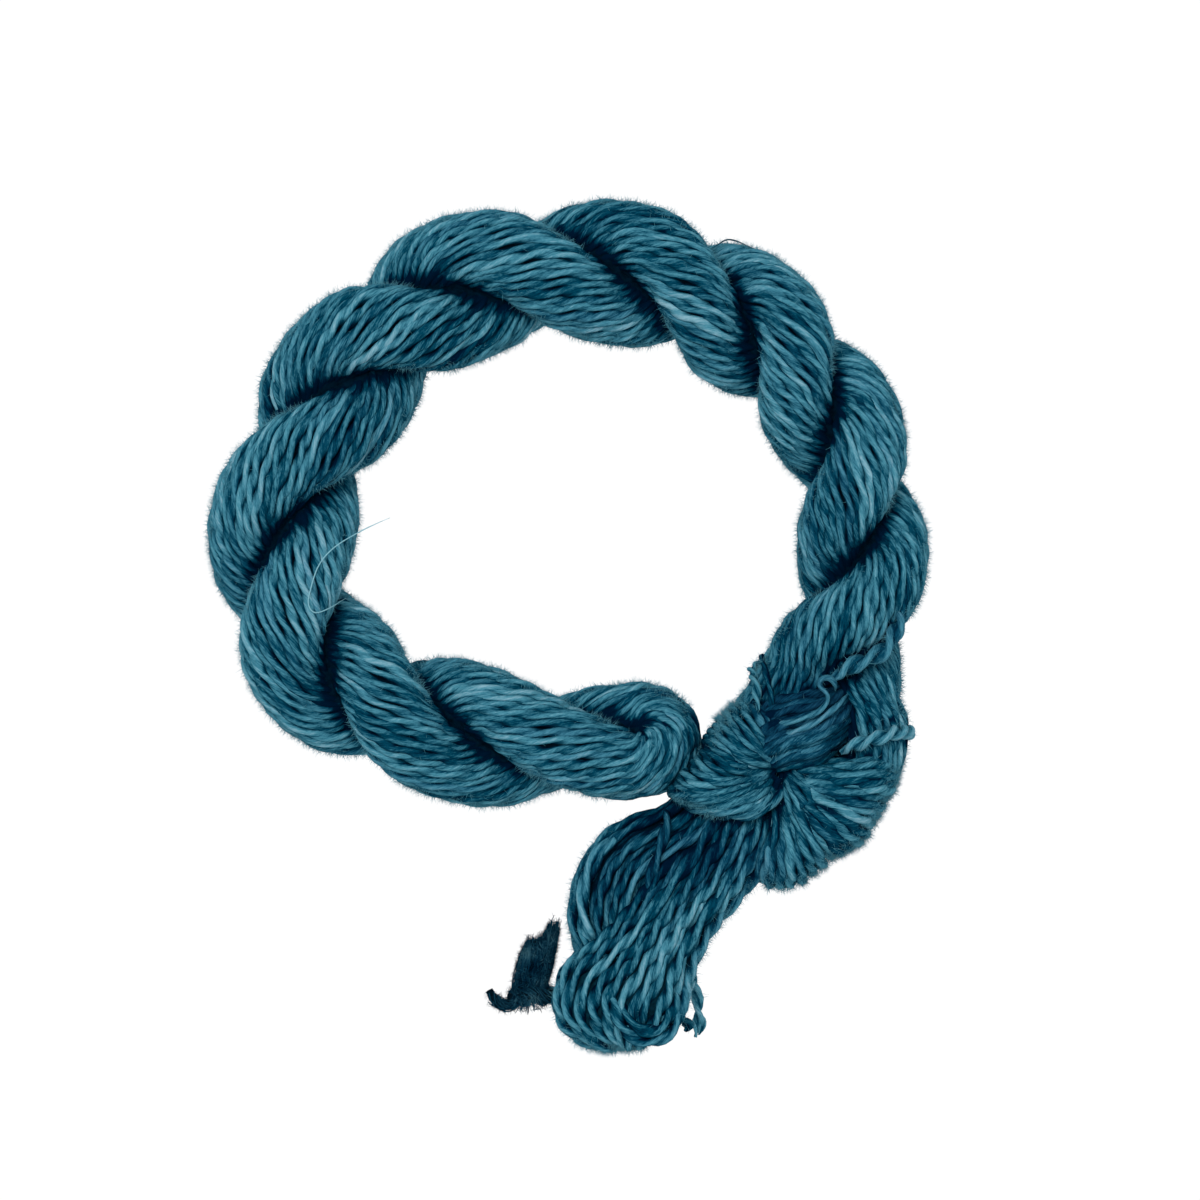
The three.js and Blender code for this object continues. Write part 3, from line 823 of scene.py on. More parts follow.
def lightRope(strand, axis):
    # keeps the back leg, the edges of the rope and the fold open to the light
    x, y, _ = strand["points"].T
    gaps = np.linalg.norm(strand["points"][:, None, :2] - axis[None], axis=2)
    nearest = gaps.argmin(axis=1)
    gap = gaps.min(axis=1)
    cornerX, cornerY = rope["legCorner"]
    onRope = (nearest > rope["foldSteps"]) & (nearest < rope["axisSteps"] - rope["foldSteps"])
    onFold = (nearest <= rope["foldSteps"]) & (gap < rope["foldWidth"])
    onLeg = rise(-y, -cornerY, rope["legRise"]) * rise(-x, -cornerX, rope["legRise"])
    atEdge = rope["edgeLeast"] * rise(gap, *rope["edgeRise"]) * onRope
    atFold = rope["foldLeast"] * rise(gap, *rope["foldRise"]) * onFold
    strand["least"] = np.maximum(rope["legLeast"] * onLeg, atEdge + atFold)
    strand["loose"] = rope["foldShown"] * rise(gap, *rope["shownRise"]) * onFold


def ropeYarns():
    made = []
    axis = ropeFrame(np.linspace(0, len(rope["rows"]) - 1, rope["axisSteps"]))[0][:, :2]
    for k in range(rope["yarns"]):
        start = 2 * math.pi * (k + rng.uniform(-rope["jitter"], rope["jitter"])) / rope["yarns"]
        inset = plied["radius"] + rng.uniform(0, rope["sink"])
        seam = rope["seamShare"] * inset
        drop = rope["legDrop"] * (k % 2)
        route = ropeYarnRoute(start, inset, seam, rope["twist"], rope["legTwist"], drop)
        made.append(yarn(underTies(route)))
        lightRope(made[-1], axis)
    return made


def ropeCore():
    lines = []
    for angle in roundTurn(rope["coreSides"]):
        route = ropeYarnRoute(angle, rope["coreInset"], rope["coreSeam"], 0, 0)
        lines.append(resample(route[::4], rope["coreStep"]))
    shortest = min(len(line) for line in lines)
    lines = [line[np.linspace(0, len(line) - 1, shortest).round().astype(int)] for line in lines]
    return tubePiece("rope_inside", lines, insideShadeTeal)


print("rope")
ropeAll = ropeYarns()
skeinPieces = [sweptPiece("rope_yarns_" + key, ropeAll[k::3], yarnInputs(rope["spread"]))
               for k, key in enumerate("abc")]
furred = list(skeinPieces)
skeinPieces.append(ropeCore())


# Loop knot: two lobes of yarn that fan out from the pinch and wrap over the edge to beneath

knot = {
    "pinch": (38.7, -25.7, 13.5),  # x, y, z
    "inner": 1.2,                  # mm from the pinch where the inside begins
    "edge": 8.5,                   # mm, height of a lobe's outer edge
    "fullness": 0.75,
    "rightLobe": [  # bearing in degrees, outer reach, crown
        (-108, 21.4, 16),
        (-97, 22.4, 19),
        (-83, 21.9, 21),
        (-71, 19.9, 21.8),
        (-59.7, 19.2, 22.2),
        (-45, 20.0, 22.4),
        (-32, 19.6, 22.4),
        (-20.9, 19.7, 22.2),
        (1.4, 21.2, 21),
        (18, 18.5, 16),
        (36, 15, 14),
    ],
    "leftLobe": [
        (108, 14.4, 19.5),
        (126, 15.1, 21),
        (144, 15.5, 22),
        (160.6, 16.2, 22.2),
        (172, 17.3, 22.4),
        (184, 21.0, 22.4),
        (192.5, 22.3, 22.4),
        (205, 18.9, 22.4),
        (218, 15.8, 22),
        (237, 14.2, 20.5),
        (250, 11.6, 19),
    ],
    "rightYarns": [  # bearing at the edge, then bearing and distance from the pinch where a yarn begins
        (-101, -98, 5.6),
        (-90, -92, 4.6),
        (-75, -84, 3.8),
        (-60, -76, 3.2),
        (-45, -66, 2.6),
        (-30, -58, 2.2),
        (-16, -50, 1.6),
        (-5, -36, 1.2),
        (4, 14, 1.4),
    ],
    "rightCount": 21,
    "rightStraight": 0.85,  # 1 for yarns straight in plan, 0 for yarns that curve round the pinch
    "leftYarns": [
        (112, 116, 1.2),
        (132, 150, 1.2),
        (150, 176, 1.4),
        (164, 194, 1.8),
        (176, 208, 2.2),
        (186, 224, 2.6),
        (193, 240, 2.8),
        (200, 256, 2.8),
        (208, 272, 2.8),
    ],
    "leftCount": 26,
    "leftStraight": 0.0,
    "rightRadius": 1.25,
    "leftRadius": 1.05,
    "sweep": (0.1, 1.7),  # half turns from the pinch over the edge to beneath
    "bend": 0.8,          # how early the yarns turn from the pinch to their place at the edge
    "spread": 0.34,
    "jitter": 0.1,       # how far a yarn may be off its place, as a share of the gap to the next
    "sink": 0.35,        # mm that a yarn may lie deeper
    "layers": 3,         # yarns take turns to lie deeper near the pinch
    "rightDrop": 1.0,    # mm for each layer
    "leftDrop": 0.5,
    "dropRange": 0.5,    # mm more at most
    "under": 0.6,        # mm, height of the underside
    "least": 0.80,       # openness to the light that the top yarns keep beside the pinch
    "leastRise": 2.0,    # mm of a yarn over which it grows
    "lowerShare": 0.85,  # yarns of the layer beneath, as a share of the top ones
    "lowerInset": 1.9,
    "coreInset": 2.5,
    "coreDrop": 3.0,
    "coreShort": 4.0,    # degrees that the inside ends before the lobe does
    "coreSides": 16,
    "collar": [  # x, y, z of the short yarns between the rope and the left lobe
        [(34.4, -5.6, 11.0), (34.9, -8.2, 15.8), (35.6, -11.0, 17.6), (36.0, -13.4, 18.2),
         (36.0, -15.6, 16.0)],
    ],
    "collarYarn": {"radius": 0.6, "step": 0.6, "shade": -0.12},
    "slitYarns": [  # short yarns that close the slit at the pinch: bearing, mm below the others
        (-112, 1.6),
        (-98, 1.0),
        (-85, 0.5),
        (-73, 0.1),
        (-61, 0.0),
        (-49, 0.0),
        (-37, 0.2),
    ],
    "slitYarn": {"radius": 1.0, "step": 0.8},
    "slitInner": 0.4,           # mm from the pinch
    "slitReach": (0.03, 0.40),  # where they run, in half turns as for the others
    "slitSink": (-0.5, 1.7),    # mm that they sink into the lobe on that way
}


def outwardShare(t):
    # share of the way from the pinch to the edge of a lobe, for an angle of the wrap
    return ((1 - np.cos(t)) / 2) ** knot["fullness"]


def lobePoints(rows, bearing, t, inset, drop=0.0, inner=knot["inner"]):
    table = along(rows, np.linspace(0, len(rows) - 1, 200))
    order = np.argsort(table[:, 0])
    reach = np.interp(bearing, table[order, 0], table[order, 1])
    crown = np.interp(bearing, table[order, 0], table[order, 2])
    x, y, z = knot["pinch"]
    outward = outwardShare(t)
    radius = inner + (reach - inset - inner) * outward
    middle = z + (knot["edge"] - z) * outward
    limit = np.where(np.sin(t) > 0, crown - inset, knot["under"] + inset)
    height = middle + (limit - middle) * np.abs(np.sin(t))
    height = height - drop * (1 - outward) * (np.cos(t) > -0.99)
    heading = np.radians(bearing)
    return np.column_stack([x + radius * np.cos(heading), y + radius * np.sin(heading), height])


def lobeYarns(side, count, deeper=0.0):
    made = []
    rows, fan, radius = (knot[side + key] for key in ("Lobe", "Yarns", "Radius"))
    t = np.linspace(*knot["sweep"], 91) * math.pi
    outward = outwardShare(t)
    inward = (1 - outward) * (t < math.pi)
    for k in range(count):
        edge, pinch, inner = rowAt(fan, (k + rng.uniform(-knot["jitter"], knot["jitter"])) / (count - 1))
        bearing = edge + (pinch - edge) * inward ** knot["bend"]
        drop = knot[side + "Drop"] * (k * 2 % knot["layers"]) + rng.uniform(0, knot["dropRange"])
        inset = radius + rng.uniform(0, knot["sink"]) + deeper
        points = lobePoints(rows, bearing, t, inset, drop, inner)
        rim = points[outward.argmax(), :2]
        heading = math.radians(pinch)
        begin = np.array(knot["pinch"][:2]) + inner * np.array([math.cos(heading), math.sin(heading)])
        level = mix(begin, rim, outward[:, None])
        points[:, :2] = mix(points[:, :2], level, knot[side + "Straight"])
        made.append(yarn(points, radius=radius))
        run = lengths(made[-1]["points"])
        made[-1]["least"] = knot["least"] * rise(run, 0.8, knot["leastRise"]) * (deeper == 0)
    return made


def lobeCore(name, rows):
    bearing = np.linspace(rows[0][0] + knot["coreShort"], rows[-1][0] - knot["coreShort"], 24)
    lines = [lobePoints(rows, bearing, np.full(24, a), knot["coreInset"], knot["coreDrop"])
             for a in roundTurn(knot["coreSides"])]
    return tubePiece(name, lines, insideShadeTeal)


print("knot")
for side in ("right", "left"):
    lobe = lobeYarns(side, knot[side + "Count"])
    if side == "left":
        lobe += [yarn(routeOf(rows), **knot["collarYarn"]) for rows in knot["collar"]]
    lobe += lobeYarns(side, int(knot[side + "Count"] * knot["lowerShare"]), knot["lowerInset"])
    furred.append(sweptPiece("knot_" + side + "_yarns", lobe, yarnInputs(knot["spread"])))
    skeinPieces += [furred[-1], lobeCore("knot_" + side + "_inside", knot[side + "Lobe"])]


# Small bundle across the knot, softer and bluer than the rest

bridge = {
    "fan": [  # x, y at the right, the middle, the left and where a yarn dives, then z in the middle
        (50.2, -10.8, 44.4, -12.6, 37.6, -13.6, 33.6, -15.6, 17.6),
        (50.6, -12.0, 45.0, -14.6, 38.2, -15.8, 32.6, -18.2, 19.6),
        (50.4, -14.2, 45.2, -17.0, 38.8, -18.4, 33.2, -20.8, 20.4),
        (50.2, -16.4, 45.4, -19.2, 39.4, -20.6, 34.4, -22.6, 20.4),
        (49.6, -18.8, 45.2, -21.2, 40.0, -22.4, 35.6, -24.0, 19.8),
        (48.6, -21.0, 44.8, -23.0, 40.6, -24.0, 36.6, -24.8, 18.8),
        (47.2, -22.6, 44.2, -24.4, 41.0, -25.0, 37.4, -25.4, 17.0),
    ],
    "counts": (14, 11),            # top layer, layer below
    "layerDrop": 1.5,              # mm
    "sink": 0.5,                   # mm that a yarn may lie deeper
    "jitter": 0.25,                # how far a yarn may be off its place, as a share of the gap to the next
    "dive": (5.0, 0.4, 0.1, 1.9),  # mm below the middle at the four places
    "radius": 1.1,
    "spread": 0.3,
    "drift": 0.2,                  # mm
    "loose": 0.7,
    "tint": 0.42,
    "tintRange": (0.5, 1.4),       # how far single yarns differ in that
    "tintFade": 0.7,               # how much of it is lost towards the lower side
    "shade": (-0.40, -0.16),       # upper and lower side
    "least": 0.78,                 # openness to the light that its top yarns keep
    "threads": [  # x, y, z of the thin loose plies that lie over the bundle
        [(47.4, -11.6, 18.2), (47.4, -10.6, 19.6), (46.6, -9.5, 20.4), (45.5, -9.3, 20.6),
         (44.6, -9.9, 20.4), (44.6, -10.9, 20.0), (45.5, -11.8, 20.0), (46.0, -12.9, 20.4),
         (45.3, -14.4, 21.2), (43.6, -15.8, 21.6), (41.2, -16.8, 21.6), (38.8, -17.4, 21.0),
         (36.4, -17.9, 19.0)],
        [(49.6, -12.4, 18.0), (47.6, -14.4, 20.4), (44.6, -16.8, 21.4), (41.0, -18.6, 21.5),
         (37.6, -19.6, 19.6)],
    ],
    "thread": {
        "radius": 0.55,
        "drift": 0.05,
        "step": 0.4,
        "taper": 2.0,
        "shade": 0.16,
        "tint": 0.2,
        "loose": 0.8,
    },
    "inside": [  # x, y, z, half-width, half-height
        (51.5, -14.5, 9.0, 7.0, 5.0),
        (46.0, -17.0, 9.5, 7.0, 6.0),
        (40.0, -20.0, 9.5, 6.0, 6.0),
        (36.0, -22.0, 9.0, 5.0, 5.0),
    ],
}


def bridgeYarns():
    made = []
    for layer, count in enumerate(bridge["counts"]):
        for k in range(count):
            jitter = rng.uniform(-bridge["jitter"], bridge["jitter"])
            *plan, top = rowAt(bridge["fan"], (k + jitter) / (count - 1))
            top -= bridge["layerDrop"] * layer + rng.uniform(0, bridge["sink"])
            route = routeOf(np.column_stack([np.reshape(plan, (4, 2)), top - np.array(bridge["dive"])]))
            tint = bridge["tint"] * rng.uniform(*bridge["tintRange"]) * (1 - bridge["tintFade"] * k / count)
            shade = mix(*bridge["shade"], k / count)
            made.append(yarn(route, radius=bridge["radius"], drift=bridge["drift"], shade=shade, tint=tint,
                             loose=bridge["loose"], least=bridge["least"] * (layer == 0)))
    for rows in bridge["threads"]:
        made.append(yarn(routeOf(rows), **bridge["thread"]))
    return made


def bundleCore(name, rows, inset, material, short=0.0, steps=8, sides=14):
    # plain inside of a bundle, which ends some rows short of it, in steps for each row
    s = np.linspace(0, len(rows) - 1 - short, steps * len(rows))
    lines = [bundlePoints(rows, s, np.full(len(s), a), inset) for a in roundTurn(sides)]
    return tubePiece(name, lines, material)


print("bundle")
furred.append(sweptPiece("bridge_yarns", bridgeYarns(), yarnInputs(bridge["spread"])))
skeinPieces += [furred[-1], bundleCore("bridge_inside", bridge["inside"], 0, insideShadeTeal)]


# Tail: yarns that fan down from the knot, round the end and back underneath

tail = {
    "rows": [  # x, y, z, half-width, half-height
        (37.0, -27.0, 10, 6, 7),
        (31.0, -35.5, 8.6, 8.2, 8.2),
        (25.6, -43.6, 8, 8.0, 8),
        (20.2, -50.6, 7.4, 8.3, 7.6),
        (15.4, -57.6, 6.8, 9.4, 7.2),
        (11.9, -63.4, 6.6, 11.6, 7),
        (8.9, -68.3, 6.4, 12.8, 6.8),
        (8.9, -72.0, 6.2, 11.3, 6.4),
        (9.2, -74.6, 5.8, 8.4, 5),
        (9.4, -76.2, 5.6, 5.0, 2.6),
    ],
    "count": 11,
    "jitter": 0.15,       # how far a yarn may be off its place, as a share of the gap to the next
    "sink": (-0.1, 0.5),  # mm that a yarn may lie deeper
    "underSink": 0.4,     # mm, the same beneath
    "least": 0.75,        # openness to the light that the yarns between the lobes keep
    "sideLeast": 0.6,     # and the low sides
    "sideHeight": 7.0,    # mm
    "under": (3.4, 0.4),  # rows between which the underside has yarns of its own
    "crowded": 2.8,       # mm that every other yarn lies deeper where they have no room side by side
    "radius": 1.28,
    "drift": 0.16,        # mm
    "spread": 0.44,
    "overLeg": 1.9,       # mm that the left side of the fan is lifted where it lies over the other leg
    "overLegRise": (0.1, 0.5),  # share of the half-width where that begins, and over which it grows
    "overLegRows": (6.5, 2.0),  # row where it ends, and rows over which it fades
    "clearFrom": -39.0,   # mm in Y, below which the yarns lie on all that is under them
    "clearRise": 5.0,     # mm
    "coreInset": 1.9,
    "shade": {"loops": -0.18, "side": -0.04, "strays": 0.12},
    "loops": [  # x, y, height over the tail: yarns that turn back along its end
        [(7.2, -64.5, -4.0), (7.9, -69.0, -0.9), (9.6, -73.0, -0.4), (12.4, -75.2, 0.4),
         (15.8, -75.3, 1.0), (18.4, -73.4, 0.8), (19.8, -70.4, 0.0), (20.4, -67.5, -0.8),
         (20.8, -64.0, -4.0)],
        [(9.2, -66.0, -4.0), (10.2, -70.0, -0.7), (12.2, -72.6, -0.5), (15.0, -72.9, -0.2),
         (17.4, -71.5, -0.5), (18.6, -68.8, -0.9), (19.2, -65.5, -4.0)],
    ],
    "side": [  # yarns that come out between the two lobes, along the right side
        [(37.2, -32.6, -2.6), (36.7, -36.5, -0.5), (35.6, -40.0, -0.4), (33.6, -44.0, -0.5),
         (31.0, -48.0, -0.7), (28.2, -51.2, -1.6), (25.2, -54.0, -4.5)],
        [(36.0, -33.2, -2.6), (35.0, -37.0, -0.5), (33.4, -40.6, -0.5), (31.2, -44.4, -0.6),
         (28.6, -48.4, -0.9), (26.2, -51.6, -2.2), (23.8, -54.0, -4.5)],
        [(34.4, -34.0, -2.6), (33.0, -37.4, -0.5), (31.2, -41.0, -0.5), (28.8, -45.0, -0.8),
         (26.4, -49.0, -1.6), (24.4, -53.0, -4.0)],
    ],
    "strays": [  # lighter yarns that lie over the others
        [(17.6, -33.6, -2.6), (17.0, -36.2, 0.2), (16.4, -39.4, 0.5), (15.2, -42.6, 0.5),
         (14.3, -46.4, 0.0), (13.8, -50.0, -4.0)],
        [(8.0, -38.6, -1.2), (5.4, -40.6, -0.1), (3.2, -43.6, 0.0), (2.2, -47.6, 0.0),
         (2.2, -51.6, -0.1), (3.2, -55.6, -0.4), (5.0, -58.6, -4.0)],
    ],
}


def tailYarns():
    made = []
    last = len(tail["rows"]) - 1
    s = np.linspace(0, last, 140)
    for k in range(tail["count"]):
        jitter = rng.uniform(-tail["jitter"], tail["jitter"])
        across = np.clip(1 - 2 * (k + jitter) / (tail["count"] - 1), -0.99, 0.99)
        theta = np.full(len(s), math.acos(across))
        inset = tail["radius"] + rng.uniform(*tail["sink"])
        room = 2 * along(tail["rows"], s)[:, 3] / (tail["count"] - 1)
        deeper = tail["crowded"] * np.clip(1 - room / (2 * tail["radius"]), 0, 1) * (k % 2)
        top = bundlePoints(tail["rows"], s, theta, inset + deeper)
        low = bundlePoints(tail["rows"], s[::-1], -theta, inset)
        ground = np.array([topHeight(x, y) for x, y, _ in top]) - inset - deeper
        end, fade = tail["overLegRows"]
        ground += tail["overLeg"] * rise(-across, *tail["overLegRise"]) * rise(-s, -end, fade)
        clear = rise(-top[:, 1], -tail["clearFrom"], tail["clearRise"])
        top[:, 2] = np.maximum(top[:, 2], mix(top[:, 2], ground, clear))
        made.append(yarn(np.concatenate([top, low[:100]]), radius=tail["radius"], drift=tail["drift"]))
        made[-1]["least"] = tail["sideLeast"] * (made[-1]["points"][:, 2] < tail["sideHeight"])
    for key, shade in tail["shade"].items():
        for rows in tail[key]:
            least = tail["least"] * (key == "side")
            made.append(yarn(draped(rows), radius=tail["radius"], shade=shade, least=least))
    return made


print("tail")
furred.append(sweptPiece("tail_yarns", tailYarns(), yarnInputs(tail["spread"])))
tailCore = bundleCore("tail_inside", tail["rows"], tail["coreInset"], gapShadeTeal, short=0.6, steps=4, sides=18)
skeinPieces += [furred[-1], tailCore]


# Loose fibres: a thin fuzz on the yarns, thicker on the sides of the wound form

fuzz = {
    "Top Density": 0.04e6,   # fibres for each square metre of yarn
    "Side Density": 18.0e6,  # and as many more where the wound form is steep
    "Length": 0.0010,        # m
    "Thickness": 0.000032,   # m
    "Open": 0.85,            # only places at least this open to the light
    "Floor": 0.0015,         # m, and this high
    "steepness": 4.0,        # power that keeps the denser fuzz to the steep sides
    "facing": 0.5,           # only where a yarn faces out more than this
    "sizes": (0.4, 1.6),     # shortest and longest, as shares of the length
    "lean": 0.8,             # radians at most
    "colour": (0.090, 0.290, 0.370),
}


def buildFuzzTree():
    # yarns in, short fibres out, which stand on the sides that face out
    sizes = ("Top Density", "Side Density", "Length", "Thickness", "Open", "Floor")
    tree, given = newTree("looseFibres", [*((size, "Float") for size in sizes), ("Seed", "Int")])
    away = node(tree, "ShaderNodeSeparateXYZ", {0: namedValue(tree, "away", "FLOAT_VECTOR")})
    level = mathNode(tree, "SUBTRACT", 1.0, mathNode(tree, "ABSOLUTE", away.outputs["Z"]))
    steep = mathNode(tree, "POWER", level, fuzz["steepness"])
    more = mathNode(tree, "MULTIPLY", steep, given["Side Density"])
    outside = mathNode(tree, "GREATER_THAN", namedValue(tree, "facing"), fuzz["facing"])
    free = mathNode(tree, "GREATER_THAN", namedValue(tree, "openness"), given["Open"])
    spot = node(tree, "ShaderNodeSeparateXYZ", {0: node(tree, "GeometryNodeInputPosition").outputs[0]})
    above = mathNode(tree, "GREATER_THAN", spot.outputs["Z"], given["Floor"])
    shown = mathNode(tree, "MULTIPLY", mathNode(tree, "MULTIPLY", outside, above), free)
    density = mathNode(tree, "ADD", more, given["Top Density"])
    strewn = {"Mesh": given["Geometry"], "Selection": shown, "Density": density, "Seed": given["Seed"]}
    scatter = node(tree, "GeometryNodeDistributePointsOnFaces", strewn, distribute_method="RANDOM").outputs
    # one fibre, a unit long
    thin = mathNode(tree, "DIVIDE", given["Thickness"], given["Length"])
    taper = {"Vertices": 3, "Side Segments": 1, "Radius Top": 0.0, "Radius Bottom": thin, "Depth": 1.0}
    fibre = node(tree, "GeometryNodeMeshCone", taper, fill_type="NGON").outputs["Mesh"]
    shortest, longest = fuzz["sizes"]
    share = {"Min": shortest, "Max": longest, "Seed": given["Seed"]}
    size = node(tree, "FunctionNodeRandomValue", share, data_type="FLOAT").outputs[1]
    placed = node(tree, "GeometryNodeInstanceOnPoints", {
        "Points": scatter["Points"],
        "Instance": fibre,
        "Rotation": scatter["Rotation"],
        "Scale": mathNode(tree, "MULTIPLY", size, given["Length"]),
    })
    most = fuzz["lean"]
    angles = {"Min": (-most, -most, 0), "Max": (most, most, 6.283), "Seed": given["Seed"]}
    lean = node(tree, "FunctionNodeRandomValue", angles, data_type="FLOAT_VECTOR").outputs[0]
    turn = {"Instances": placed.outputs["Instances"], "Rotation": lean}
    turned = node(tree, "GeometryNodeRotateInstances", turn).outputs["Instances"]
    return closeTree(tree, turned, given)


print("fuzz")
fuzzTree = buildFuzzTree()
fuzzInputs = {**fuzz, "Material": plainFinish("looseFibre", fuzz["colour"], 0.6)}
for k, piece in enumerate(furred):
    skeinPieces.append(grown(piece.name + "_fuzz", piece.data, fuzzTree, {**fuzzInputs, "Seed": 11 + k}))

for piece in skeinPieces:
    standsFor(piece, "skein")


# Stray hairs: a long pale one over the left of the ring, a short one on its upper right edge

strays = {
    "hairs": [  # x, y, z
        [(-40.2, 4.8, 15.0), (-42.9, 3.0, 20.6), (-45.3, 2.2, 22.6), (-46.4, 3.6, 22.8),
         (-46.2, 5.7, 22.7), (-44.7, 10.5, 22.0), (-42.0, 13.8, 20.8), (-37.8, 16.5, 18.8),
         (-34.2, 18.3, 17.8), (-32.1, 19.2, 17.2)],
        [(25.4, 67.8, 10.0), (26.8, 68.6, 10.5), (28.2, 69.4, 11.0), (30.2, 69.0, 11.4),
         (32.6, 67.9, 11.0)],
    ],
    "radius": (0.11, 0.16),
    "taper": (6.0, 4.0),
    "colour": [(0.27, 0.58, 0.68), (0.012, 0.055, 0.085)],
}

print("hairs")
for k, rows in enumerate(strays["hairs"]):
    hair = yarn(routeOf(rows), radius=strays["radius"][k], drift=0, step=0.5, taper=strays["taper"][k])
    finish = plainFinish("strayHair" + "ab"[k], strays["colour"][k], 0.5)
    standsFor(sweptPiece("stray_hair_" + "ab"[k], [hair], yarnInputs(0.0, finish, 6), alone=True), "skein")


# Ties of the same yarn, and the yarn's own loose end

print("ties")
for name, rows in ties.items():
    tied = [yarn(routeOf(rows), radius=tieLook["radius"][name], shade=tieLook["shade"][name],
                 taper=tieLook["taper"], **tieLook["yarn"])]
    begin, thin = tieLook["thin"].get(name, (1, 1))
    share = np.linspace(0, 1, len(tied[0]["radius"]))
    tied[0]["radius"] *= mix(1, thin, rise(share, begin, tieLook["thinOver"]))
    if name == "yarn_end":
        for ply, radius, shade in zip(tieLook["plies"], tieLook["plyRadius"], tieLook["plyShade"]):
            tied.append(yarn(routeOf(ply), radius=radius, shade=shade, taper=tieLook["plyTaper"],
                             **tieLook["yarn"]))
    tie = sweptPiece(name + "_yarn", tied, yarnInputs(tieLook["spread"]), alone=True)
    standsFor(tie, name)
    standsFor(grown(tie.name + "_fuzz", tie.data, fuzzTree, {**fuzzInputs, **tieLook["fuzz"]}), name)


# End tie: a felted knot of dark yarn with a brush of cut fibres and one curled end

endTie = {
    "knot": [  # x, y, z, half-width, half-height, of the felted body
        (-2.4, -67.2, 2.6, 1.3, 1.4),
        (-4.6, -67.2, 2.8, 1.6, 2.0),
        (-7.0, -67.2, 2.9, 1.8, 2.5),
        (-9.6, -67.8, 2.5, 1.7, 2.1),
        (-11.4, -68.0, 1.9, 1.1, 1.3),
    ],
    "brush": [
        (-7.7, -67.0, 2.3, 3.1, 2.0),
        (-7.2, -64.0, 2.3, 2.9, 1.9),
        (-6.5, -60.6, 2.2, 2.7, 1.7),
        (-5.9, -57.6, 2.0, 2.5, 1.3),
    ],
    "curl": [
        (-9.4, -67.9, 2.2, 1.1, 1.3),
        (-10.8, -68.9, 1.8, 1.1, 1.3),
        (-12.4, -69.2, 1.6, 1.1, 1.2),
        (-13.8, -68.2, 1.5, 1.0, 1.1),
        (-14.7, -66.4, 1.4, 0.8, 0.9),
    ],
    "tips": [  # x, y where the brush ends, from its left side to its right side
        (-8.8, -60.2),
        (-8.2, -58.0),
        (-7.4, -56.8),
        (-6.8, -57.8),
        (-5.7, -56.8),
        (-4.6, -56.0),
        (-3.5, -54.0),
        (-3.0, -55.8),
        (-2.5, -54.2),
        (-2.3, -55.4),
    ],
    "roots": [(-10.7, -68.4), (-7.9, -68.7), (-4.9, -68.2)],
    "brushFibres": 520,
    "brushFibre": {"drift": 0.2, "taper": 2.5, "loose": 0.6},
    "brushRange": (0.6, 1.3),        # how far single fibres differ in thickness
    "brushShade": 0.1,               # and in shade
    "brushStray": 0.28,              # mm that they leave their even course
    "rootRange": 0.4,                # share of the brush over which they begin
    "brushMiddle": (2.3, 2.2, 1.7),  # mm, height at the root, half way and at the tip
    "brushSwell": (1.9, 1.8, 1.4),   # and how far fibres lie above or below it
    "ragged": (-0.3, 0.6),           # mm that the cut tips stand out, and how far they differ
    "feltFibres": 1000,
    "feltFibre": {"drift": 0.1, "step": 0.6, "taper": 0.8, "loose": 0.6},
    "feltRange": (0.5, 1.0),
    "feltShade": 0.30,
    "feltHeading": 0.8,              # radians that they differ from the brush's course
    "feltBend": 0.7,                 # radians that they curve
    "feltHeight": (4.5, 3.5),        # mm at the root and at the tip
    "feltHump": 1.2,                 # mm more over the knot
    "feltLength": (1.0, 2.6),        # mm
    "wrapFibres": 50,
    "wrapFibre": {"drift": 0.15, "loose": 0.6},
    "wrapRange": (0.6, 1.4),
    "wrapShortest": 1.5,             # mm
    "wraps": {"knot": 2.0, "curl": 1.2},  # radians that fibres wind round these bodies
    "insets": {"knot": 0.25, "brush": 0.5, "curl": 0.2},  # mm, of the bodies inside the fibres
    "inside": 0.8,                   # openness of the fibres inside the brush: no fuzz grows on them, and the finish paints them darker as shade
    "fibre": 0.10,                   # mm, radius
    "fuzz": {"Top Density": 13.0e6, "Length": 0.0008, "Floor": 0.0004, "Seed": 61},
    "fuzzColour": (0.003, 0.026, 0.050),
}


def brushEnds(across):
    # root and tip in plan, for a share of the way from the left side of the brush to its right side
    return rowAt(endTie["roots"], across), rowAt(endTie["tips"], across)


def brushFibres():
    made = []
    for _ in range(endTie["brushFibres"]):
        across = rng.uniform(0, 1)
        layer = rng.uniform(-1, 1)
        root, tip = brushEnds(across)
        tip = tip + (tip - root) / np.linalg.norm(tip - root) * rng.normal(*endTie["ragged"])
        root = mix(root, tip, rng.uniform(0, endTie["rootRange"]))
        dome = math.sqrt(max(0.05, 1 - (2 * across - 1) ** 2))
        swell = np.array(endTie["brushSwell"]) * (dome, dome, 1) * layer
        ends = np.column_stack([[root, mix(root, tip, 0.5), tip], endTie["brushMiddle"] + swell])
        ends[1:, :2] += rng.normal(0, endTie["brushStray"], (2, 2))
        route = along(ends, np.linspace(0, 2, 24))
        radius = endTie["fibre"] * rng.uniform(*endTie["brushRange"])
        shade = rng.normal(0, endTie["brushShade"])
        made.append(yarn(route, radius=radius, shade=shade, **endTie["brushFibre"]))
        share = np.linspace(0, 1, len(made[-1]["least"]))
        made[-1]["least"] = endTie["inside"] * (0.12 < across < 0.88) * (share < 0.8)
    return made


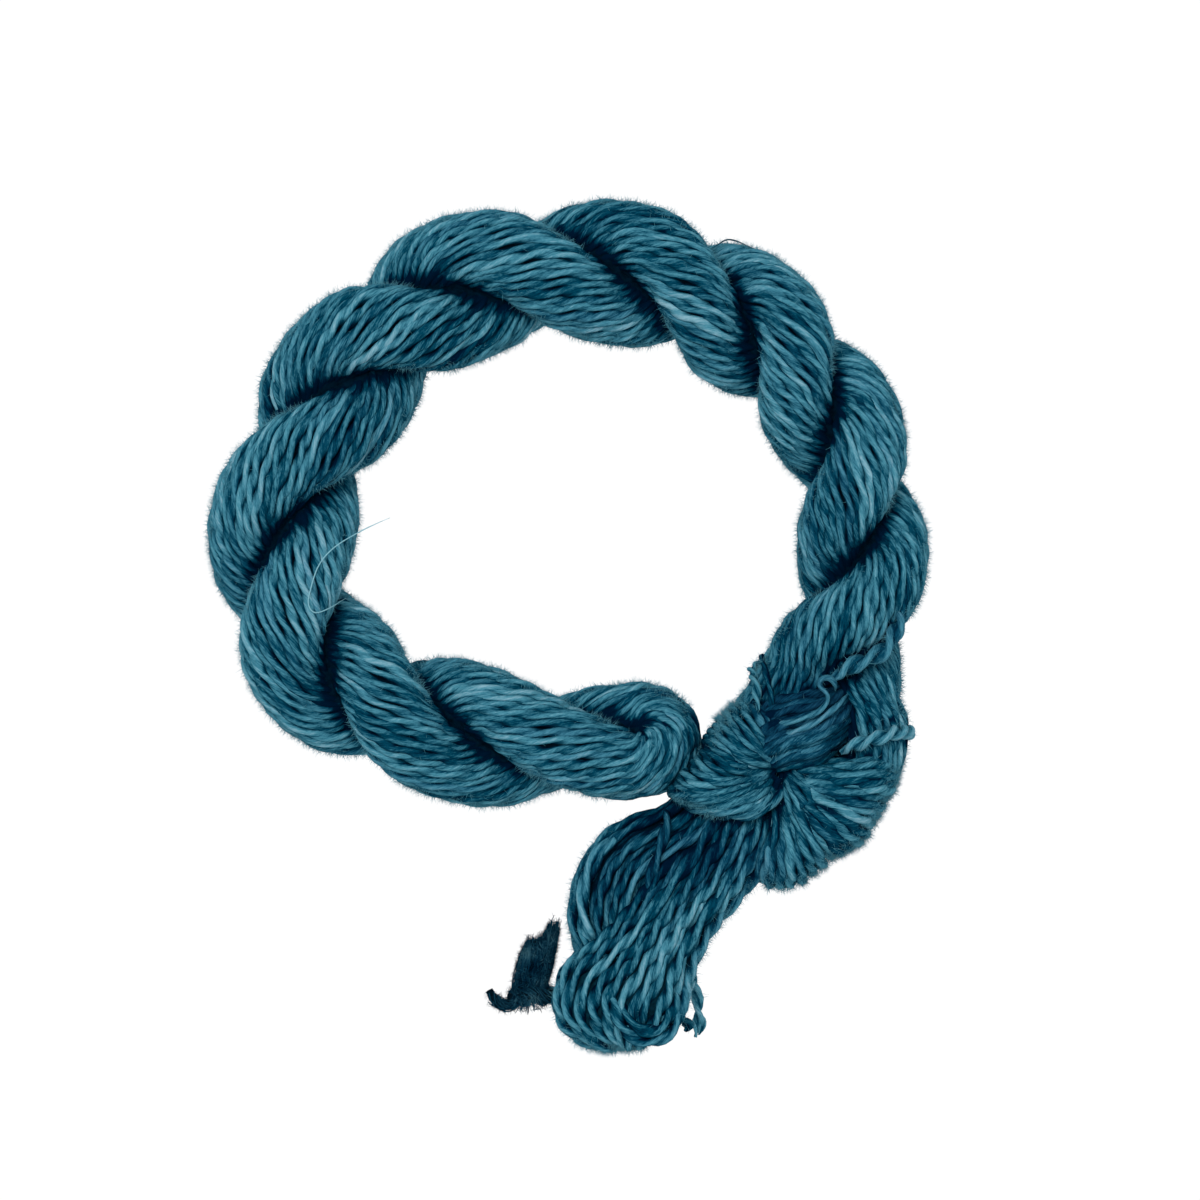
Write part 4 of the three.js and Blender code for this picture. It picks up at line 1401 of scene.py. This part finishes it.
def feltFibres():
    # short fibres that lie all ways over the brush
    made = []
    for _ in range(endTie["feltFibres"]):
        across = rng.uniform(0.04, 0.96)
        share = rng.uniform(-0.1, 0.94)
        root, tip = brushEnds(across)
        high = mix(*endTie["feltHeight"], share) * math.sqrt(1 - 0.5 * (2 * across - 1) ** 2)
        high += endTie["feltHump"] * smoothStep(1.3 - 8 * share)
        heading = math.atan2(*(tip - root)[::-1]) + rng.normal(0, endTie["feltHeading"])
        turn = heading + rng.normal(0, endTie["feltBend"]) * np.linspace(-1, 1, 8)
        run = rng.uniform(*endTie["feltLength"]) / 8
        line = np.cumsum(run * np.column_stack([np.cos(turn), np.sin(turn)]), axis=0)
        flat = mix(root, tip, share) + line - line.mean(axis=0)
        route = np.column_stack([flat, np.full(8, high)])
        radius = endTie["fibre"] * rng.uniform(*endTie["feltRange"])
        shade = rng.normal(0, endTie["feltShade"])
        made.append(yarn(route, radius=radius, shade=shade, least=endTie["inside"], **endTie["feltFibre"]))
    return made


def wrapFibres(rows, turn):
    # loose fibres wound slantwise round a felted body
    made = []
    for _ in range(endTie["wrapFibres"]):
        begin = rng.uniform(-0.1, 0.75) * (len(rows) - 1)
        s = np.clip(begin + np.linspace(0, rng.uniform(0.8, 1.6), 20), 0, len(rows) - 1.3)
        theta = rng.uniform(0, 2 * math.pi) + turn * np.linspace(0, 1, 20)
        route = bundlePoints(rows, s, theta, -0.15 * rng.uniform(-1, 1.6))
        if lengths(route)[-1] > endTie["wrapShortest"]:
            radius = endTie["fibre"] * rng.uniform(*endTie["wrapRange"])
            made.append(yarn(route, radius=radius, **endTie["wrapFibre"]))
    return made


print("end tie")
fibres = brushFibres() + feltFibres()
for key, turn in endTie["wraps"].items():
    fibres += wrapFibres(endTie[key], turn)
endPieces = [sweptPiece("end_tie_fibres", fibres, yarnInputs(0.0, navy, 4), alone=True)]
endFuzz = {**fuzzInputs, **endTie["fuzz"], "Material": plainFinish("darkFibre", endTie["fuzzColour"], 0.7)}
endPieces.append(grown("end_tie_fuzz", endPieces[0].data, fuzzTree, endFuzz))
for key, inset in endTie["insets"].items():
    endPieces.append(bundleCore("end_tie_" + key, endTie[key], inset, insideShadeNavy))
for piece in endPieces:
    standsFor(piece, "end_tie")


# Underside of the tail, from the ends of its turned-back yarns to the knot, and the slit at the pinch

def underYarns():
    made = []
    s = np.linspace(*tail["under"], 50)
    for k in range(tail["count"] + 1):
        theta = -math.acos(np.clip(1 - 2 * k / tail["count"], -0.99, 0.99))
        inset = tail["radius"] + rng.uniform(0, tail["underSink"])
        route = bundlePoints(tail["rows"], s, np.full(50, theta), inset)
        made.append(yarn(route, radius=tail["radius"], least=tail["sideLeast"]))
    return made


def slitYarns():
    made = []
    t = np.linspace(*knot["slitReach"], 40) * math.pi
    for bearing, deeper in knot["slitYarns"]:
        inset = knot["rightRadius"] + deeper + np.linspace(*knot["slitSink"], 40)
        route = lobePoints(knot["rightLobe"], np.full(40, bearing), t, inset, inner=knot["slitInner"])
        made.append(yarn(route, **knot["slitYarn"]))
        run = lengths(made[-1]["points"])
        made[-1]["least"] = knot["least"] * rise(run, 0.5, knot["leastRise"])
    return made


print("underside and slit")
for name, yarns, spread in (("tail_under_yarns", underYarns(), tail["spread"]),
                            ("knot_slit_yarns", slitYarns(), knot["spread"])):
    standsFor(sweptPiece(name, yarns, yarnInputs(spread)), "skein")


# Floor, light and camera

studio = {
    "floor": (0.02, 0.02, 0.02),
    "floorGlow": 1.0,                 # just the white of the picture, so no shadow shows
    "floorReach": 3.0,                # m
    "lights": {                       # place and size in m, power in W
        "softTop": ((-0.25, 0.3, 1.3), 1.0, 12),
        "softFill": ((0.7, -0.5, 0.9), 0.9, 2),
    },
    "sky": 0.27,
    "photoMiddle": (5.4, 4.5, 11.0),  # mm, the point under the middle of the picture
    "photoWidth": 216.0,              # mm across the picture at that height
    "cameraHeight": 900.0,            # mm above that point
    "sensor": 36.0,
}


def addFloor():
    mesh = bpy.data.meshes.new("floor")
    reach = studio["floorReach"]
    corners = [(-reach, -reach, 0), (reach, -reach, 0), (reach, reach, 0), (-reach, reach, 0)]
    mesh.from_pydata(corners, [], [(0, 1, 2, 3)])
    material, _, shader = newFinish("paleFloor", 0.9, 0.5)
    shader["Base Color"].default_value = (*studio["floor"], 1)
    shader["Emission Color"].default_value = (1, 1, 1, 1)
    shader["Emission Strength"].default_value = studio["floorGlow"]
    mesh.materials.append(material)
    addPiece("floor", mesh)


def addLight(name, place, size, power):
    light = bpy.data.lights.new(name, "AREA")
    light.shape = "DISK"
    light.size = size
    light.energy = power
    lamp = addPiece(name, light)
    lamp.location = place
    lamp.rotation_euler = (-Vector(place)).to_track_quat("-Z", "Y").to_euler()


def addSky():
    world = bpy.data.worlds.new("studio")
    world.use_nodes = True
    background = world.node_tree.nodes["Background"].inputs
    background["Color"].default_value = (1, 1, 1, 1)
    background["Strength"].default_value = studio["sky"]
    bpy.context.scene.world = world


def addCamera():
    data = bpy.data.cameras.new("photoCamera")
    data.sensor_width = studio["sensor"]
    data.lens = studio["sensor"] * studio["cameraHeight"] / studio["photoWidth"]
    data.clip_start = 0.01
    data.clip_end = 20
    camera = addPiece("photoCamera", data)
    x, y, z = studio["photoMiddle"]
    camera.location = (x * mm, y * mm, (z + studio["cameraHeight"]) * mm)
    bpy.context.scene.camera = camera


print("studio")
addFloor()
for name, (place, size, power) in studio["lights"].items():
    addLight(name, place, size, power)
addSky()
bpy.context.scene.view_settings.view_transform = "Standard"
addCamera()
